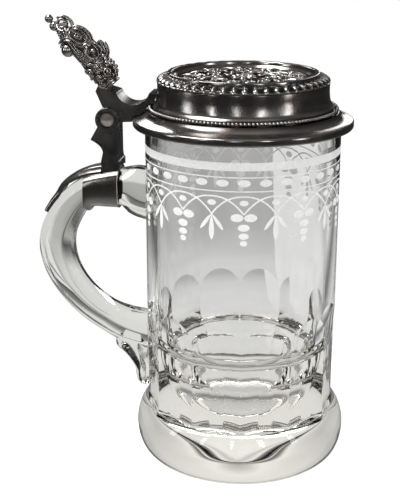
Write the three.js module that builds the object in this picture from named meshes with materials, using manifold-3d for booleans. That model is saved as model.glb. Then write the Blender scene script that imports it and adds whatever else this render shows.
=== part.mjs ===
// A lidded glass beer mug: a thick glass cylinder on a rounded foot, a glass handle,
// and a pewter lid that turns on a five-ring hinge carried by a collar round the handle.
// Millimetres, +Z up. The origin is on the mug's axis, on the surface that it stands on.
// The handle points along -X, and the hinge pin lies along Y.

import * as THREE from 'three';
import * as BufferGeometryUtils from 'three/addons/utils/BufferGeometryUtils.js';
import Module from 'manifold-3d';

const wasm = await Module();
wasm.setup();
const { degToRad, lerp, smoothstep } = THREE.MathUtils;

// Clearances
const SEAT_GAP = 0.3; // between a piece and what it rests on
const RUN_GAP = 0.3; // between pieces that turn past each other
const CUT = 1; // how far a cutting solid runs past what it cuts

// Glass body
const BODY_R = 42.5;
const WALL = 4.5;
const GLASS_HEIGHT = 153;
const BASE_THICKNESS = 20;
const WELL_R = 27.5; // the deep round well in the bottom of the inside
const WELL_DEPTH = 30.5;
const WELL_EDGE = 1.5; // the bevel on the well's edge
const STEP_RISE = 9.5; // from the well's edge up to the straight wall
const RIM_ROUND = 1.4;
const FOOT_OVERHANG = 5.3;
const FOOT_HEIGHT = 25.5;
const FOOT_WIDEST_Z = 14;
const SHOULDER_FULLNESS = 1.75;
const REST_R = 38.5;
const PANEL_COUNT = 12;
const PANEL_TURN = 6.5; // degrees from +X to the first edge between panels
const PANEL_DEPTH = 1.6; // how deep a panel is cut at its middle
const PANEL_TOP = 73;
const WHEEL_R = 48; // radius of the grinding wheel that ends each panel in an arch

// Glass handle
const HANDLE_REACH = 42.4; // from the body's wall to the middle of the handle at its furthest
const HANDLE_DROP = 31.2; // from the glass rim down to the middle of the upper arm
const HANDLE_LOW_Z = 56; // middle of the lower end
const HANDLE_HALF_WIDTH = 8.2;
const FACET = 0.5; // share of a side that stays flat between the corner facets
// The handle's middle line: [share of the reach, share of the rise, half thickness]
const HANDLE_STATIONS = [
  [-0.12, 0.965, 12.3],
  [0.035, 0.976, 11.3],
  [0.153, 0.999, 10],
  [0.271, 1.01, 7.8],
  [0.413, 1.004, 7],
  [0.559, 0.993, 6.2],
  [0.645, 0.975, 5.8],
  [0.701, 0.948, 6.2],
  [0.821, 0.868, 6.9],
  [0.913, 0.776, 7.2],
  [0.976, 0.684, 7.5],
  [1, 0.585, 7.7],
  [0.974, 0.465, 7.4],
  [0.895, 0.345, 7],
  [0.776, 0.237, 6.7],
  [0.622, 0.142, 6.6],
  [0.445, 0.067, 6.7],
  [0.248, 0.012, 7.6],
  [0.035, -0.02, 8.3],
  [-0.12, -0.03, 8.3],
];
const TAIL_TIP_Z = 26.5;
// The tail down to its tip: [out from the wall, share of the drop, half thickness, half width]
const TAIL_STATIONS = [
  [8, 0, 6.5, 7.6],
  [7.9, 0.3, 7.1, 7.6],
  [6.3, 0.4, 5.8, 7.4],
  [4.9, 0.51, 4.3, 7],
  [3.4, 0.67, 3.2, 6.4],
  [3.1, 0.8, 3.2, 5.8],
  [2.7, 0.92, 2.5, 4.8],
  [1.7, 1, 1.1, 2.1],
];

// Collar and strap
const COLLAR_WALL = 1.3;
const COLLAR_INNER_END = 12; // from the body's wall
const COLLAR_LENGTH = 15.5;
const COLLAR_FULLNESS = 3.2; // how square its rounded outside is
const STRAP_THICKNESS = 1.7;
const STRAP_EDGE = 0.75; // thickness at the strap's edges, as a share
const STRAP_HALF_WIDTH = 7;
const STRAP_TIP_HALF_WIDTH = 4.6;
const STRAP_TIP_RISE = 0.77; // how far down the handle the strap ends, 1 at the upper arm
const STRAP_BEND = 0.85; // fall of its sides for each millimetre beyond the handle's flat back

// Hinge
const HINGE_REACH = 16.3; // from the body's wall to the pin
const HINGE_RISE = 0.2; // from the glass rim up to the pin
const HINGE_WIDTH = 13;
const RING_R = 5.35;
const RING_COUNT = 5;
const PIN_R = 1.6;
const PLUG_R = 3.15;
const PLUG_THICKNESS = 1.2;
const PLUG_RECESS = 0.25;
const POST_THICKNESS = 6.5;
const POST_OFFSET = 1.05; // from the pin forward to the middle of the post
const POST_FLARE = 0.9; // how far the post's foot spreads, front and back
const POST_WAIST_DROP = 6.2; // from the spur's tip down to where the post is thinnest
const SPUR_START = 216; // degrees round the hinge ring, from forward over the top
const SPUR_REACH = 7.6;
const SPUR_DROP = 8.4;

// Lever and thumblift. Places in the lever's side view are [forward of the pin, above the pin].
const LEVER_TOP_BACK = [-3.8, 14.5]; // the thumblift stands between these two corners
const LEVER_TOP_FRONT = [4.4, 12.1];
const SCOOP_R = 7.5;
const SCOOP_MIDDLE = [11.6, 14.4];
const LEVER_OUTLINE = [[22.8, 12.2], [22.8, 0.3], [5.95, -0.7], [0, 0], [-1.4, 4.8], [-4.7, 12.5]];
const THUMB_LENGTH = 39.2; // from its base to the middle of the end ball
const THUMB_LEAN = 42.3; // degrees from upright
const THUMB_HALF_WIDTH = 5.6;
// The thumblift's body: [share of the length, back face, front face, share of the width]
const THUMB_STATIONS = [
  [0, -4.6, 4.6, 0.84],
  [0.128, -2.8, 7.6, 1],
  [0.23, -3.2, 7.6, 1.06],
  [0.321, -2.8, 6.6, 0.9],
  [0.416, -2.2, 8.2, 1],
  [0.51, -2.2, 7.8, 0.96],
  [0.612, -2.6, 6.8, 0.96],
  [0.714, -1.8, 5.4, 0.8],
  [0.806, -1.1, 4.2, 0.55],
  [0.88, -0.7, 1.4, 0.25],
];
// Balls in the middle: [share of the length, forward, radius]
const THUMB_BALLS = [[1, 0.3, 1.85], [0.908, -0.1, 2.1]];
// Balls on both sides: [share of the length, forward, share of the half width, radius]
const THUMB_VOLUTE = [0.6, -2.2, 0.55, 2.9];
// Discs on both sides: [share of the length, forward, share of the half width, radius, thickness]
const THUMB_DISCS = [[0.41, 5.2, 0.96, 3, 1.6], [0.85, 4, 0.4, 2.5, 1.8], [0.64, 4.2, 0.92, 2.7, 1.2]];

// Lid
const LIP_DROP = 1.5; // how far the lip reaches down outside the glass rim
const LIP_CLEARANCE = 0.8;
const FLANGE_OVERHANG = 5.25;
const FLANGE_EDGE = 3.2;
const FLANGE_ROUND = 1;
const FLANGE_SAG = 0.6; // how far the flange's top dips under a straight slope
const SEAT_OVERLAP = 1; // how far the lid's seat reaches inside the bore
const LEDGE_RISE = 5.4; // from the glass rim up to the ledge that the bead ring sits on
const DRUM_INSET = 5.5; // from the body's outside in to the drum
const DRUM_FLARE = 2.3;
// The hollow curve from the beads up to the straight drum: [share of the flare, height]
const DRUM_COVE = [[1, 0], [0.45, 1.2], [0.15, 3.2], [0, 6]];
const DRUM_RISE = 17.4; // from the glass rim up to the drum's top
const COVER_WALL = 1.8;
const BEAD_R = 0.8;
const GADROON_COUNT = 52;
const GADROON_HEIGHT = 2.8;
const GADROON_LIP = 0.25; // how far the border stands out from the drum
const GADROON_DEPTH = 0.45;
// How deep the groove between two lobes is along the curve, from the foot to the rim
const GADROON_GROOVE = [0.4, 1, 1, 1, 0.4];
const GADROON_WIDTH = 4.3; // from the drum in to the lid's rim
const LID_RIM_WIDTH = 2;
const LID_RIM_HEIGHT = 4.3;
const LID_RIM_ROUND = 0.6;
const RECESS_SLOPE = 1.4; // how far the rim's inner side runs inwards to the disc
const DISC_THICKNESS = 1.3;
const DISC_LEDGE = 3; // width of the ledge that holds the disc
const DISC_DOME = 0.9;
const RELIEF_HEIGHT = 0.8;
const RELIEF_LEAVES = 8;
const RELIEF_TWIST = 5; // radians that the leaves turn from the middle to the edge
// Rings of the relief from the middle out, and the leaves' height on each, as shares
const RELIEF_RINGS = [
  [0.12, 0],
  [0.28, 0.15],
  [0.44, 0.75],
  [0.6, 1],
  [0.75, 0.65],
  [0.88, 0.15],
  [0.96, 0],
  [1, 0],
];

// Fineness of the faceted surfaces
const ROUND_STEPS = 72;
const HANDLE_STEPS = 26;
const BAR_STEPS = 32;
const BORE_STEPS = 20;
const BALL_STEPS = 12;
const SECTION_STEPS = 24;

// Places worked out from the sizes above
const FOOT_R = BODY_R + FOOT_OVERHANG;
const BORE_R = BODY_R - WALL;
const STEP_Z = BASE_THICKNESS + WELL_DEPTH;
const HINGE_X = -(BODY_R + HINGE_REACH);
const HINGE_Z = GLASS_HEIGHT + HINGE_RISE;
const HANDLE_TOP_Z = GLASS_HEIGHT - HANDLE_DROP;
const SEAT_Z = GLASS_HEIGHT + SEAT_GAP;
const LIP_Z = GLASS_HEIGHT - LIP_DROP;
const LIP_INNER_R = BODY_R + LIP_CLEARANCE;
const FLANGE_R = BODY_R + FLANGE_OVERHANG;
const DRUM_R = BODY_R - DRUM_INSET;
const LID_RIM_R = DRUM_R - GADROON_WIDTH;
const LEDGE_Z = GLASS_HEIGHT + LEDGE_RISE;
const DRUM_FOOT_R = DRUM_R + DRUM_FLARE;
const BEAD_SPACE = 2 * BEAD_R + SEAT_GAP;
const LEDGE_R = DRUM_FOOT_R + BEAD_SPACE;
const DRUM_TOP_Z = GLASS_HEIGHT + DRUM_RISE;
const SHOULDER_Z = DRUM_TOP_Z + SEAT_GAP;
const DISC_R = LID_RIM_R - LID_RIM_WIDTH - RECESS_SLOPE - SEAT_GAP;

const materials = {
  glass: new THREE.MeshStandardMaterial({ color: 0xe4ebe6, roughness: 0.04, metalness: 0 }),
  pewter: new THREE.MeshStandardMaterial({ color: 0x6d6863, roughness: 0.32, metalness: 1 }),
  darkPewter: new THREE.MeshStandardMaterial({ color: 0x4b4845, roughness: 0.38, metalness: 1 }),
  steel: new THREE.MeshStandardMaterial({ color: 0x8a8d90, roughness: 0.3, metalness: 1 }),
  plug: new THREE.MeshStandardMaterial({ color: 0x8b7d73, roughness: 0.45, metalness: 1 }),
};

// A closed solid from a geometry, with its faces turned outwards
function solidOf(geometry) {
  const loose = geometry.index ? geometry.toNonIndexed() : geometry;
  const bare = new THREE.BufferGeometry();
  bare.setAttribute('position', loose.getAttribute('position').clone());
  const merged = BufferGeometryUtils.mergeVertices(bare, 1e-4);
  const points = merged.getAttribute('position').array;
  const index = merged.index.array;
  const corner = (i) => new THREE.Vector3().fromArray(points, 3 * i);
  const triangles = [];
  let volume = 0;
  for (let i = 0; i < index.length; i += 3) {
    const [a, b, c] = [index[i], index[i + 1], index[i + 2]];
    if (a === b || b === c || c === a) continue;
    triangles.push(a, b, c);
    volume += corner(a).dot(corner(b).cross(corner(c)));
  }
  if (volume < 0) triangles.reverse();
  return new wasm.Manifold(new wasm.Mesh({
    numProp: 3,
    vertProperties: Float32Array.from(points),
    triVerts: Uint32Array.from(triangles),
  }));
}

// A solid from points and the corners of its triangles
function solidFrom(points, faces) {
  const geometry = new THREE.BufferGeometry().setFromPoints(points);
  geometry.setIndex(faces);
  return solidOf(geometry);
}

// A named mesh from a solid
function piece(name, solid, material) {
  const mesh = solid.getMesh();
  const geometry = new THREE.BufferGeometry();
  geometry.setAttribute('position', new THREE.BufferAttribute(Float32Array.from(mesh.vertProperties), 3));
  geometry.setIndex(new THREE.BufferAttribute(Uint32Array.from(mesh.triVerts), 1));
  geometry.computeVertexNormals();
  const part = new THREE.Mesh(geometry, material);
  part.name = name;
  return part;
}

// A profile of [radius, height] points turned about Z; it closes on itself
function turned(profile) {
  const points = profile.map(([r, z]) => new THREE.Vector2(r, z));
  points.push(points[0].clone());
  return solidOf(new THREE.LatheGeometry(points, ROUND_STEPS).rotateX(Math.PI / 2));
}

// A plain round block on the mug's axis
function turnedBlock(r, fromZ, toZ) {
  return turned([[0, fromZ], [r, fromZ], [r, toZ], [0, toZ]]);
}

// A shape drawn in x and z, extruded along Y between two places
function slab(shape, fromY, toY) {
  const settings = { depth: toY - fromY, bevelEnabled: false, curveSegments: 6 };
  return solidOf(new THREE.ExtrudeGeometry(shape, settings).rotateX(Math.PI / 2).translate(0, toY, 0));
}

// A round bar along Y through the hinge's axis
function hingeBar(radius, fromY, toY, steps = BAR_STEPS) {
  const geometry = new THREE.CylinderGeometry(radius, radius, Math.abs(toY - fromY), steps);
  return solidOf(geometry.translate(HINGE_X, (fromY + toY) / 2, 0)).translate([0, 0, HINGE_Z]);
}

// Rings of points joined into one closed surface
function lofted(rings) {
  const count = rings[0].length;
  const points = rings.flat();
  const faces = [];
  for (let i = 0; i + 1 < rings.length; i += 1) {
    for (let k = 0; k < count; k += 1) {
      const a = i * count + k;
      const b = i * count + ((k + 1) % count);
      faces.push(a, b, b + count, a, b + count, a + count);
    }
  }
  for (const [ring, start] of [[rings[0], 0], [rings.at(-1), points.length - count]]) {
    const middle = ring.reduce((sum, p) => sum.add(p), new THREE.Vector3()).divideScalar(count);
    const hub = points.push(middle) - 1;
    for (let k = 0; k < count; k += 1) {
      const pair = [start + k, start + ((k + 1) % count)];
      faces.push(hub, ...(start === 0 ? pair.reverse() : pair));
    }
  }
  return solidFrom(points, faces);
}

// Rings of points joined round into a closed wreath
function wreath(rings) {
  const count = rings[0].length;
  const total = rings.length * count;
  const faces = [];
  rings.forEach((ring, i) => ring.forEach((_, k) => {
    const a = i * count + k;
    const b = i * count + ((k + 1) % count);
    const [c, d] = [(b + count) % total, (a + count) % total];
    faces.push(a, b, c, a, c, d);
  }));
  return solidFrom(rings.flat(), faces);
}

// A quarter of a rounded curve between two points, from the upright end to the level end
function quarter(from, to, steps, fullness = 2) {
  const points = [];
  for (let i = 0; i <= steps; i += 1) {
    const angle = (Math.PI / 2) * (i / steps);
    const across = Math.cos(angle) ** (2 / fullness);
    const along = Math.sin(angle) ** (2 / fullness);
    points.push([to[0] + (from[0] - to[0]) * across, from[1] + (to[1] - from[1]) * along]);
  }
  return points;
}

// Glass body: one turned solid with twelve flat panels ground into its lower half
function glassBody() {
  const rimStart = GLASS_HEIGHT - RIM_ROUND;
  const rimR = BODY_R - WALL / 2;
  const profile = [
    [0, 0],
    ...quarter([FOOT_R, FOOT_WIDEST_Z], [REST_R, 0], 6).reverse(),
    ...quarter([FOOT_R, FOOT_WIDEST_Z], [BODY_R, FOOT_HEIGHT], 5, SHOULDER_FULLNESS).slice(1),
    [BODY_R, PANEL_TOP],
    ...quarter([BODY_R, rimStart], [rimR, GLASS_HEIGHT], 3),
    ...quarter([BORE_R, rimStart], [rimR, GLASS_HEIGHT], 3).reverse().slice(1),
    ...quarter([BORE_R, STEP_Z + STEP_RISE], [WELL_R + WELL_EDGE, STEP_Z], 4),
    ...quarter([WELL_R, STEP_Z - WELL_EDGE], [0, BASE_THICKNESS], 7),
  ];
  let body = turned(profile);
  for (let i = 0; i < PANEL_COUNT; i += 1) {
    body = body.subtract(panelCutter(PANEL_TURN + (i + 0.5) * (360 / PANEL_COUNT)));
  }
  return body;
}

// What the grinding wheel takes away for one panel, at an angle in degrees from +X
function panelCutter(degrees) {
  const flat = BODY_R - PANEL_DEPTH;
  const run = Math.sqrt(WHEEL_R ** 2 - (WHEEL_R - PANEL_DEPTH) ** 2);
  const archStart = PANEL_TOP - run;
  const outside = FOOT_R + CUT;
  const shape = new THREE.Shape();
  shape.moveTo(outside, FOOT_HEIGHT);
  shape.lineTo(flat, FOOT_HEIGHT);
  shape.lineTo(flat, archStart);
  const steps = 5;
  const fullAngle = Math.asin((run + CUT) / WHEEL_R);
  for (let i = 1; i <= steps; i += 1) {
    const angle = fullAngle * (i / steps);
    shape.lineTo(flat + WHEEL_R * (1 - Math.cos(angle)), archStart + WHEEL_R * Math.sin(angle));
  }
  shape.lineTo(outside, archStart + WHEEL_R * Math.sin(fullAngle));
  const halfWidth = outside * Math.tan(Math.PI / PANEL_COUNT);
  return slab(shape, -halfWidth, halfWidth).rotate([0, 0, degrees]);
}

// The handle's middle line, with its half thickness kept in the y of each point
const handleRise = HANDLE_TOP_Z - HANDLE_LOW_Z;
const handleLine = new THREE.CatmullRomCurve3(HANDLE_STATIONS.map(([out, up, half]) => (
  new THREE.Vector3(-(BODY_R + HANDLE_REACH * out), half, HANDLE_LOW_Z + handleRise * up)
)), false, 'centripetal');

// Where the middle line is at t, which way is outwards there, and the half thickness
function handleAt(t) {
  const point = handleLine.getPoint(t);
  const ahead = handleLine.getTangent(t).setY(0).normalize();
  return {
    middle: new THREE.Vector3(point.x, 0, point.z),
    outwards: new THREE.Vector3(ahead.z, 0, -ahead.x),
    half: point.y,
  };
}

// The first t at which the middle line has gone as far as a test says
function handleWhere(test) {
  const step = 1 / 400;
  let t = 0;
  while (t < 1 && !test(handleAt(t).middle)) t += step;
  return t;
}

// An eight-sided section, grown outwards by a margin: [across, outwards] points
function facetedSection(halfWidth, halfHeight, margin = 0) {
  const length = Math.hypot(halfHeight, halfWidth);
  const [nx, ny] = [halfHeight / length, halfWidth / length];
  const distance = nx * halfWidth + ny * halfHeight * FACET + margin;
  const [w, h] = [halfWidth + margin, halfHeight + margin];
  const side = (distance - nx * w) / ny;
  const top = (distance - ny * h) / nx;
  return [[w, -side], [w, side], [top, h], [-top, h], [-w, side], [-w, -side], [-top, -h], [top, -h]];
}

// A rounded section: [across, outwards] points
function roundedSection(halfWidth, halfHeight, steps = SECTION_STEPS, fullness = 2.6) {
  return Array.from({ length: steps }, (_, i) => {
    const angle = (2 * Math.PI * i) / steps;
    const [c, s] = [Math.cos(angle), Math.sin(angle)];
    return [
      halfWidth * Math.sign(c) * Math.abs(c) ** (2 / fullness),
      halfHeight * Math.sign(s) * Math.abs(s) ** (2 / fullness),
    ];
  });
}

// A section carried along the handle's middle line from t0 to t1
function alongHandle(t0, t1, steps, section) {
  const rings = [];
  for (let i = 0; i <= steps; i += 1) {
    const t = lerp(t0, t1, i / steps);
    const { middle, outwards, half } = handleAt(t);
    rings.push(section(half, t).map(([across, out]) => (
      middle.clone().addScaledVector(outwards, out).setY(across)
    )));
  }
  return lofted(rings);
}

// Glass handle: a faceted bar, with a flattened tail that curls down against the body
function glassHandle() {
  const bar = alongHandle(0, 1, HANDLE_STEPS, (half) => facetedSection(HANDLE_HALF_WIDTH, half));
  const tail = lofted(TAIL_STATIONS.map(([out, share, halfThickness, halfWidth]) => (
    facetedSection(halfWidth, halfThickness).map(([across, thick]) => (
      new THREE.Vector3(-(BODY_R + out + thick), across, lerp(HANDLE_LOW_Z, TAIL_TIP_Z, share))
    ))
  )));
  return bar.add(tail).subtract(turnedBlock(BODY_R + SEAT_GAP, -CUT, GLASS_HEIGHT + CUT));
}

// The collar is bent a little longer than it is, and then cut square at both ends
const COLLAR_EXTRA = 3;
const collarStartX = -(BODY_R + COLLAR_INNER_END);
const collarEndX = collarStartX - COLLAR_LENGTH;
const collarStart = handleWhere((p) => p.x < collarStartX + COLLAR_EXTRA);
const collarEnd = handleWhere((p) => p.x < collarEndX - COLLAR_EXTRA);
const COLLAR_STEPS = 8;

// The outside of the collar, grown by a margin
function collarOutside(margin) {
  const grow = SEAT_GAP + COLLAR_WALL + margin;
  return alongHandle(collarStart, collarEnd, COLLAR_STEPS, (half) => (
    roundedSection(HANDLE_HALF_WIDTH + grow, half + grow, SECTION_STEPS, COLLAR_FULLNESS)
  ));
}

// A block between two x places, wide and tall enough for the whole hinge
function between(x0, x1) {
  const shape = new THREE.Shape();
  shape.moveTo(x0, HANDLE_LOW_Z);
  shape.lineTo(x1, HANDLE_LOW_Z);
  shape.lineTo(x1, HINGE_Z + THUMB_LENGTH);
  shape.lineTo(x0, HINGE_Z + THUMB_LENGTH);
  const reach = HINGE_WIDTH + HANDLE_HALF_WIDTH;
  return slab(shape, -reach, reach);
}

// Handle collar: a band bent round the glass, square at both ends
function handleCollar() {
  const past = 0.02;
  const bore = alongHandle(collarStart - past, collarEnd + past, COLLAR_STEPS, (half) => (
    facetedSection(HANDLE_HALF_WIDTH, half, SEAT_GAP)
  ));
  return collarOutside(0).intersect(between(collarEndX, collarStartX)).subtract(bore);
}

// The post's back and front face, and where the strap starts and ends
const postBack = HINGE_X + POST_OFFSET - POST_THICKNESS / 2;
const postFront = postBack + POST_THICKNESS;
const strapStartX = postBack - POST_FLARE - SEAT_GAP;
const strapStart = handleWhere((p) => p.x < strapStartX + COLLAR_EXTRA);
const strapEnd = handleWhere((p) => (
  p.x < HINGE_X && p.z < HANDLE_LOW_Z + handleRise * STRAP_TIP_RISE
));

// Back strap: a tapering strip bent over the collar and down the back of the handle
function backStrap() {
  const onCollar = SEAT_GAP + COLLAR_WALL + SEAT_GAP;
  const settleLength = 0.045;
  const flat = HANDLE_HALF_WIDTH * FACET;
  const fall = (across) => STRAP_BEND * Math.max(0, Math.abs(across) - flat);
  const section = (half, t) => {
    const share = (t - strapStart) / (strapEnd - strapStart);
    const width = lerp(STRAP_HALF_WIDTH, STRAP_TIP_HALF_WIDTH, share);
    const under = half + lerp(onCollar, SEAT_GAP, smoothstep(t, collarEnd, collarEnd + settleLength));
    const places = [-1, -0.7, -0.35, 0.35, 0.7, 1];
    const thickness = (place) => STRAP_THICKNESS * (Math.abs(place) === 1 ? STRAP_EDGE : 1);
    const outer = places.map((p) => [p * width, under + thickness(p) - fall(p * width)]);
    const inner = places.map((p) => [p * width, under - fall(p * width)]).reverse();
    return [...outer, ...inner];
  };
  const strip = alongHandle(strapStart, strapEnd, 16, section);
  return strip.intersect(between(collarEndX - HANDLE_REACH, strapStartX)).subtract(collarOutside(SEAT_GAP));
}

// Where each hinge ring starts and ends along Y
const ringLength = (HINGE_WIDTH - (RING_COUNT - 1) * RUN_GAP) / RING_COUNT;
const hingeRings = Array.from({ length: RING_COUNT }, (_, i) => {
  const from = -HINGE_WIDTH / 2 + i * (ringLength + RUN_GAP);
  return { from, to: from + ringLength, fixed: i % 2 === 0 };
});

// Adds a piece's own rings to it and clears the way for the other piece's rings
function withRings(solid, fixed) {
  let result = solid;
  for (const ring of hingeRings.filter((r) => r.fixed !== fixed)) {
    result = result.subtract(hingeBar(RING_R + RUN_GAP, ring.from - RUN_GAP, ring.to + RUN_GAP));
  }
  for (const ring of hingeRings.filter((r) => r.fixed === fixed)) {
    result = result.add(hingeBar(RING_R, ring.from, ring.to));
  }
  return result.subtract(hingeBar(PIN_R + RUN_GAP, -HINGE_WIDTH, HINGE_WIDTH, BORE_STEPS));
}

// Hinge post: an upright on the collar, with the fixed rings and the spur that stops the lid
function hingePost() {
  const spurZ = HINGE_Z - SPUR_DROP;
  const waistZ = spurZ - POST_WAIST_DROP;
  const footZ = HANDLE_TOP_Z + handleAt(collarStart).half + SEAT_GAP + COLLAR_WALL;
  const start = degToRad(SPUR_START);
  const shape = new THREE.Shape();
  shape.moveTo(postFront + POST_FLARE, HANDLE_TOP_Z);
  shape.lineTo(postFront + POST_FLARE, footZ);
  shape.quadraticCurveTo(postFront, footZ, postFront, waistZ);
  shape.lineTo(postFront, HINGE_Z);
  shape.lineTo(HINGE_X + RING_R * Math.cos(start), HINGE_Z + RING_R * Math.sin(start));
  shape.lineTo(HINGE_X - SPUR_REACH, spurZ);
  shape.quadraticCurveTo(postBack, (spurZ + waistZ) / 2, postBack, waistZ);
  shape.lineTo(postBack - POST_FLARE, footZ);
  shape.lineTo(postBack - POST_FLARE, HANDLE_TOP_Z);
  const upright = slab(shape, -HINGE_WIDTH / 2, HINGE_WIDTH / 2).subtract(collarOutside(SEAT_GAP));
  let post = withRings(upright, true);
  for (const side of [-1, 1]) {
    const mouth = side * (HINGE_WIDTH / 2 + CUT);
    const floor = side * (HINGE_WIDTH / 2 - PLUG_RECESS - PLUG_THICKNESS - SEAT_GAP);
    post = post.subtract(hingeBar(PLUG_R + SEAT_GAP, floor, mouth));
  }
  return post;
}

// Hinge pin, and the plugs that close its ends
function hingePin() {
  const reach = HINGE_WIDTH / 2 - PLUG_RECESS - PLUG_THICKNESS - SEAT_GAP;
  return hingeBar(PIN_R, -reach, reach, BORE_STEPS);
}

function pinPlug(side) {
  const outer = HINGE_WIDTH / 2 - PLUG_RECESS;
  return hingeBar(PLUG_R, side * outer, side * (outer - PLUG_THICKNESS));
}

// The outside of the flange and drum, from the lip up to the drum's top: [radius, height]
const flangeTop = LIP_Z + FLANGE_EDGE + FLANGE_ROUND / 2;
const coverOutside = [
  [FLANGE_R - FLANGE_ROUND, LIP_Z],
  [FLANGE_R, LIP_Z + FLANGE_ROUND],
  [FLANGE_R, LIP_Z + FLANGE_EDGE],
  [FLANGE_R - FLANGE_ROUND / 2, flangeTop],
  [(FLANGE_R + LEDGE_R) / 2, (flangeTop + LEDGE_Z) / 2 - FLANGE_SAG],
  [LEDGE_R, LEDGE_Z],
  [DRUM_FOOT_R, LEDGE_Z],
  ...DRUM_COVE.map(([share, up]) => [DRUM_R + DRUM_FLARE * share, LEDGE_Z + BEAD_SPACE + up]),
  [DRUM_R, DRUM_TOP_Z],
];

// Lid cover: flange, lip and drum in one shell, open below
function lidCover() {
  const innerR = DRUM_R - COVER_WALL;
  const ceilingZ = DRUM_TOP_Z - COVER_WALL;
  return turned([
    ...coverOutside,
    [DISC_R - DISC_LEDGE, DRUM_TOP_Z],
    [DISC_R - DISC_LEDGE, ceilingZ],
    [innerR, ceilingZ],
    [innerR, LEDGE_Z + BEAD_SPACE + COVER_WALL],
    [BORE_R - SEAT_OVERLAP, LEDGE_Z - COVER_WALL],
    [BORE_R - SEAT_OVERLAP, SEAT_Z],
    [LIP_INNER_R, SEAT_Z],
    [LIP_INNER_R, LIP_Z],
  ]);
}

// The lid's outside with its beads, filled to the axis and grown by the seat gap
function lidClearance() {
  const grown = coverOutside.slice(1).map(([r, z]) => [r + SEAT_GAP, z + SEAT_GAP]);
  const cover = turned([[0, LIP_Z - CUT], [FLANGE_R + SEAT_GAP, LIP_Z - CUT], ...grown, [0, SHOULDER_Z]]);
  return cover.add(turnedBlock(LEDGE_R + 2 * SEAT_GAP, LEDGE_Z, LEDGE_Z + BEAD_SPACE + 2 * SEAT_GAP));
}

// Bead ring: the beaded wire in the corner between flange and drum
function beadRing() {
  const middleR = DRUM_FOOT_R + SEAT_GAP + BEAD_R;
  const middleZ = LEDGE_Z + SEAT_GAP + BEAD_R;
  const sides = 8;
  return turned(Array.from({ length: sides }, (_, i) => {
    const angle = (2 * Math.PI * (i + 0.5)) / sides;
    return [middleR + BEAD_R * Math.cos(angle), middleZ + BEAD_R * Math.sin(angle)];
  }));
}

// Gadroon border: a rounded shoulder of lobes that lean in to the rim
function gadroonBorder() {
  const innerR = LID_RIM_R + SEAT_GAP;
  const outerR = DRUM_R + GADROON_LIP;
  const footR = outerR - GADROON_DEPTH;
  const arc = quarter([outerR, SHOULDER_Z + GADROON_LIP], [innerR, SHOULDER_Z + GADROON_HEIGHT], 4);
  const steps = GADROON_COUNT * 2;
  return wreath(Array.from({ length: steps }, (_, i) => {
    const angle = (2 * Math.PI * i) / steps;
    const outside = arc.map(([r, z], k) => {
      const depth = i % 2 === 0 ? 0 : GADROON_DEPTH * GADROON_GROOVE[k];
      return [Math.max(r - depth, innerR), k === 0 ? z : z - depth];
    });
    return [[innerR, SHOULDER_Z], [footR, SHOULDER_Z], ...outside].map(([r, z]) => (
      new THREE.Vector3(r * Math.cos(angle), r * Math.sin(angle), z)
    ));
  }));
}

// Lid rim: the raised roll round the inlaid disc
function lidRim() {
  const innerR = LID_RIM_R - LID_RIM_WIDTH;
  const top = SHOULDER_Z + LID_RIM_HEIGHT;
  const edge = top - LID_RIM_ROUND;
  return turned([
    [LID_RIM_R, SHOULDER_Z],
    [LID_RIM_R, edge],
    [LID_RIM_R - LID_RIM_ROUND, top],
    [innerR + LID_RIM_ROUND, top],
    [innerR, edge],
    [innerR - RECESS_SLOPE, SHOULDER_Z + DISC_THICKNESS],
    [innerR - RECESS_SLOPE, SHOULDER_Z],
  ]);
}

// Relief disc: a low dome with a ring of twisted leaves on it
function reliefDisc() {
  const steps = RELIEF_LEAVES * 8;
  const flatZ = SHOULDER_Z + DISC_THICKNESS;
  const heightAt = (share, leaves, angle) => {
    const leaf = 0.5 + 0.5 * Math.cos(RELIEF_LEAVES * angle + RELIEF_TWIST * share);
    return flatZ + DISC_DOME * (1 - share ** 2) + RELIEF_HEIGHT * leaves * leaf;
  };
  const points = [new THREE.Vector3(0, 0, flatZ + DISC_DOME), new THREE.Vector3(0, 0, SHOULDER_Z)];
  const angles = Array.from({ length: steps }, (_, k) => (2 * Math.PI * k) / steps);
  const addRing = (share, height) => angles.forEach((angle) => {
    const r = DISC_R * share;
    points.push(new THREE.Vector3(r * Math.cos(angle), r * Math.sin(angle), height(angle)));
  });
  RELIEF_RINGS.forEach(([share, leaves]) => addRing(share, (angle) => heightAt(share, leaves, angle)));
  addRing(1, () => SHOULDER_Z);
  const faces = [];
  const last = RELIEF_RINGS.length;
  const at = (ring, k) => 2 + ring * steps + (k % steps);
  for (let k = 0; k < steps; k += 1) {
    faces.push(0, at(0, k), at(0, k + 1));
    faces.push(1, at(last, k + 1), at(last, k));
    for (let ring = 0; ring < last; ring += 1) {
      faces.push(at(ring, k), at(ring + 1, k), at(ring + 1, k + 1));
      faces.push(at(ring, k), at(ring + 1, k + 1), at(ring, k + 1));
    }
  }
  return solidFrom(points, faces);
}

// A place in the lever's side view
function besidePin([forward, up]) {
  return new THREE.Vector2(HINGE_X + forward, HINGE_Z + up);
}

const leverBack = besidePin(LEVER_TOP_BACK);
const leverFront = besidePin(LEVER_TOP_FRONT);

// Lid lever: a thick plate scooped out above, lying on the flange, with the moving rings
function lidLever() {
  const scoop = besidePin(SCOOP_MIDDLE);
  const start = leverFront.clone().sub(scoop).angle();
  const sweep = 3 * Math.PI - 2 * start;
  const bends = 12;
  const scooped = Array.from({ length: bends }, (_, i) => {
    const angle = start + sweep * ((i + 1) / bends);
    return new THREE.Vector2(SCOOP_R, 0).rotateAround(new THREE.Vector2(), angle).add(scoop);
  });
  const shape = new THREE.Shape([leverBack, leverFront, ...scooped, ...LEVER_OUTLINE.map(besidePin)]);
  const plate = slab(shape, -HINGE_WIDTH / 2, HINGE_WIDTH / 2);
  return withRings(plate, false).subtract(lidClearance());
}

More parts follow.
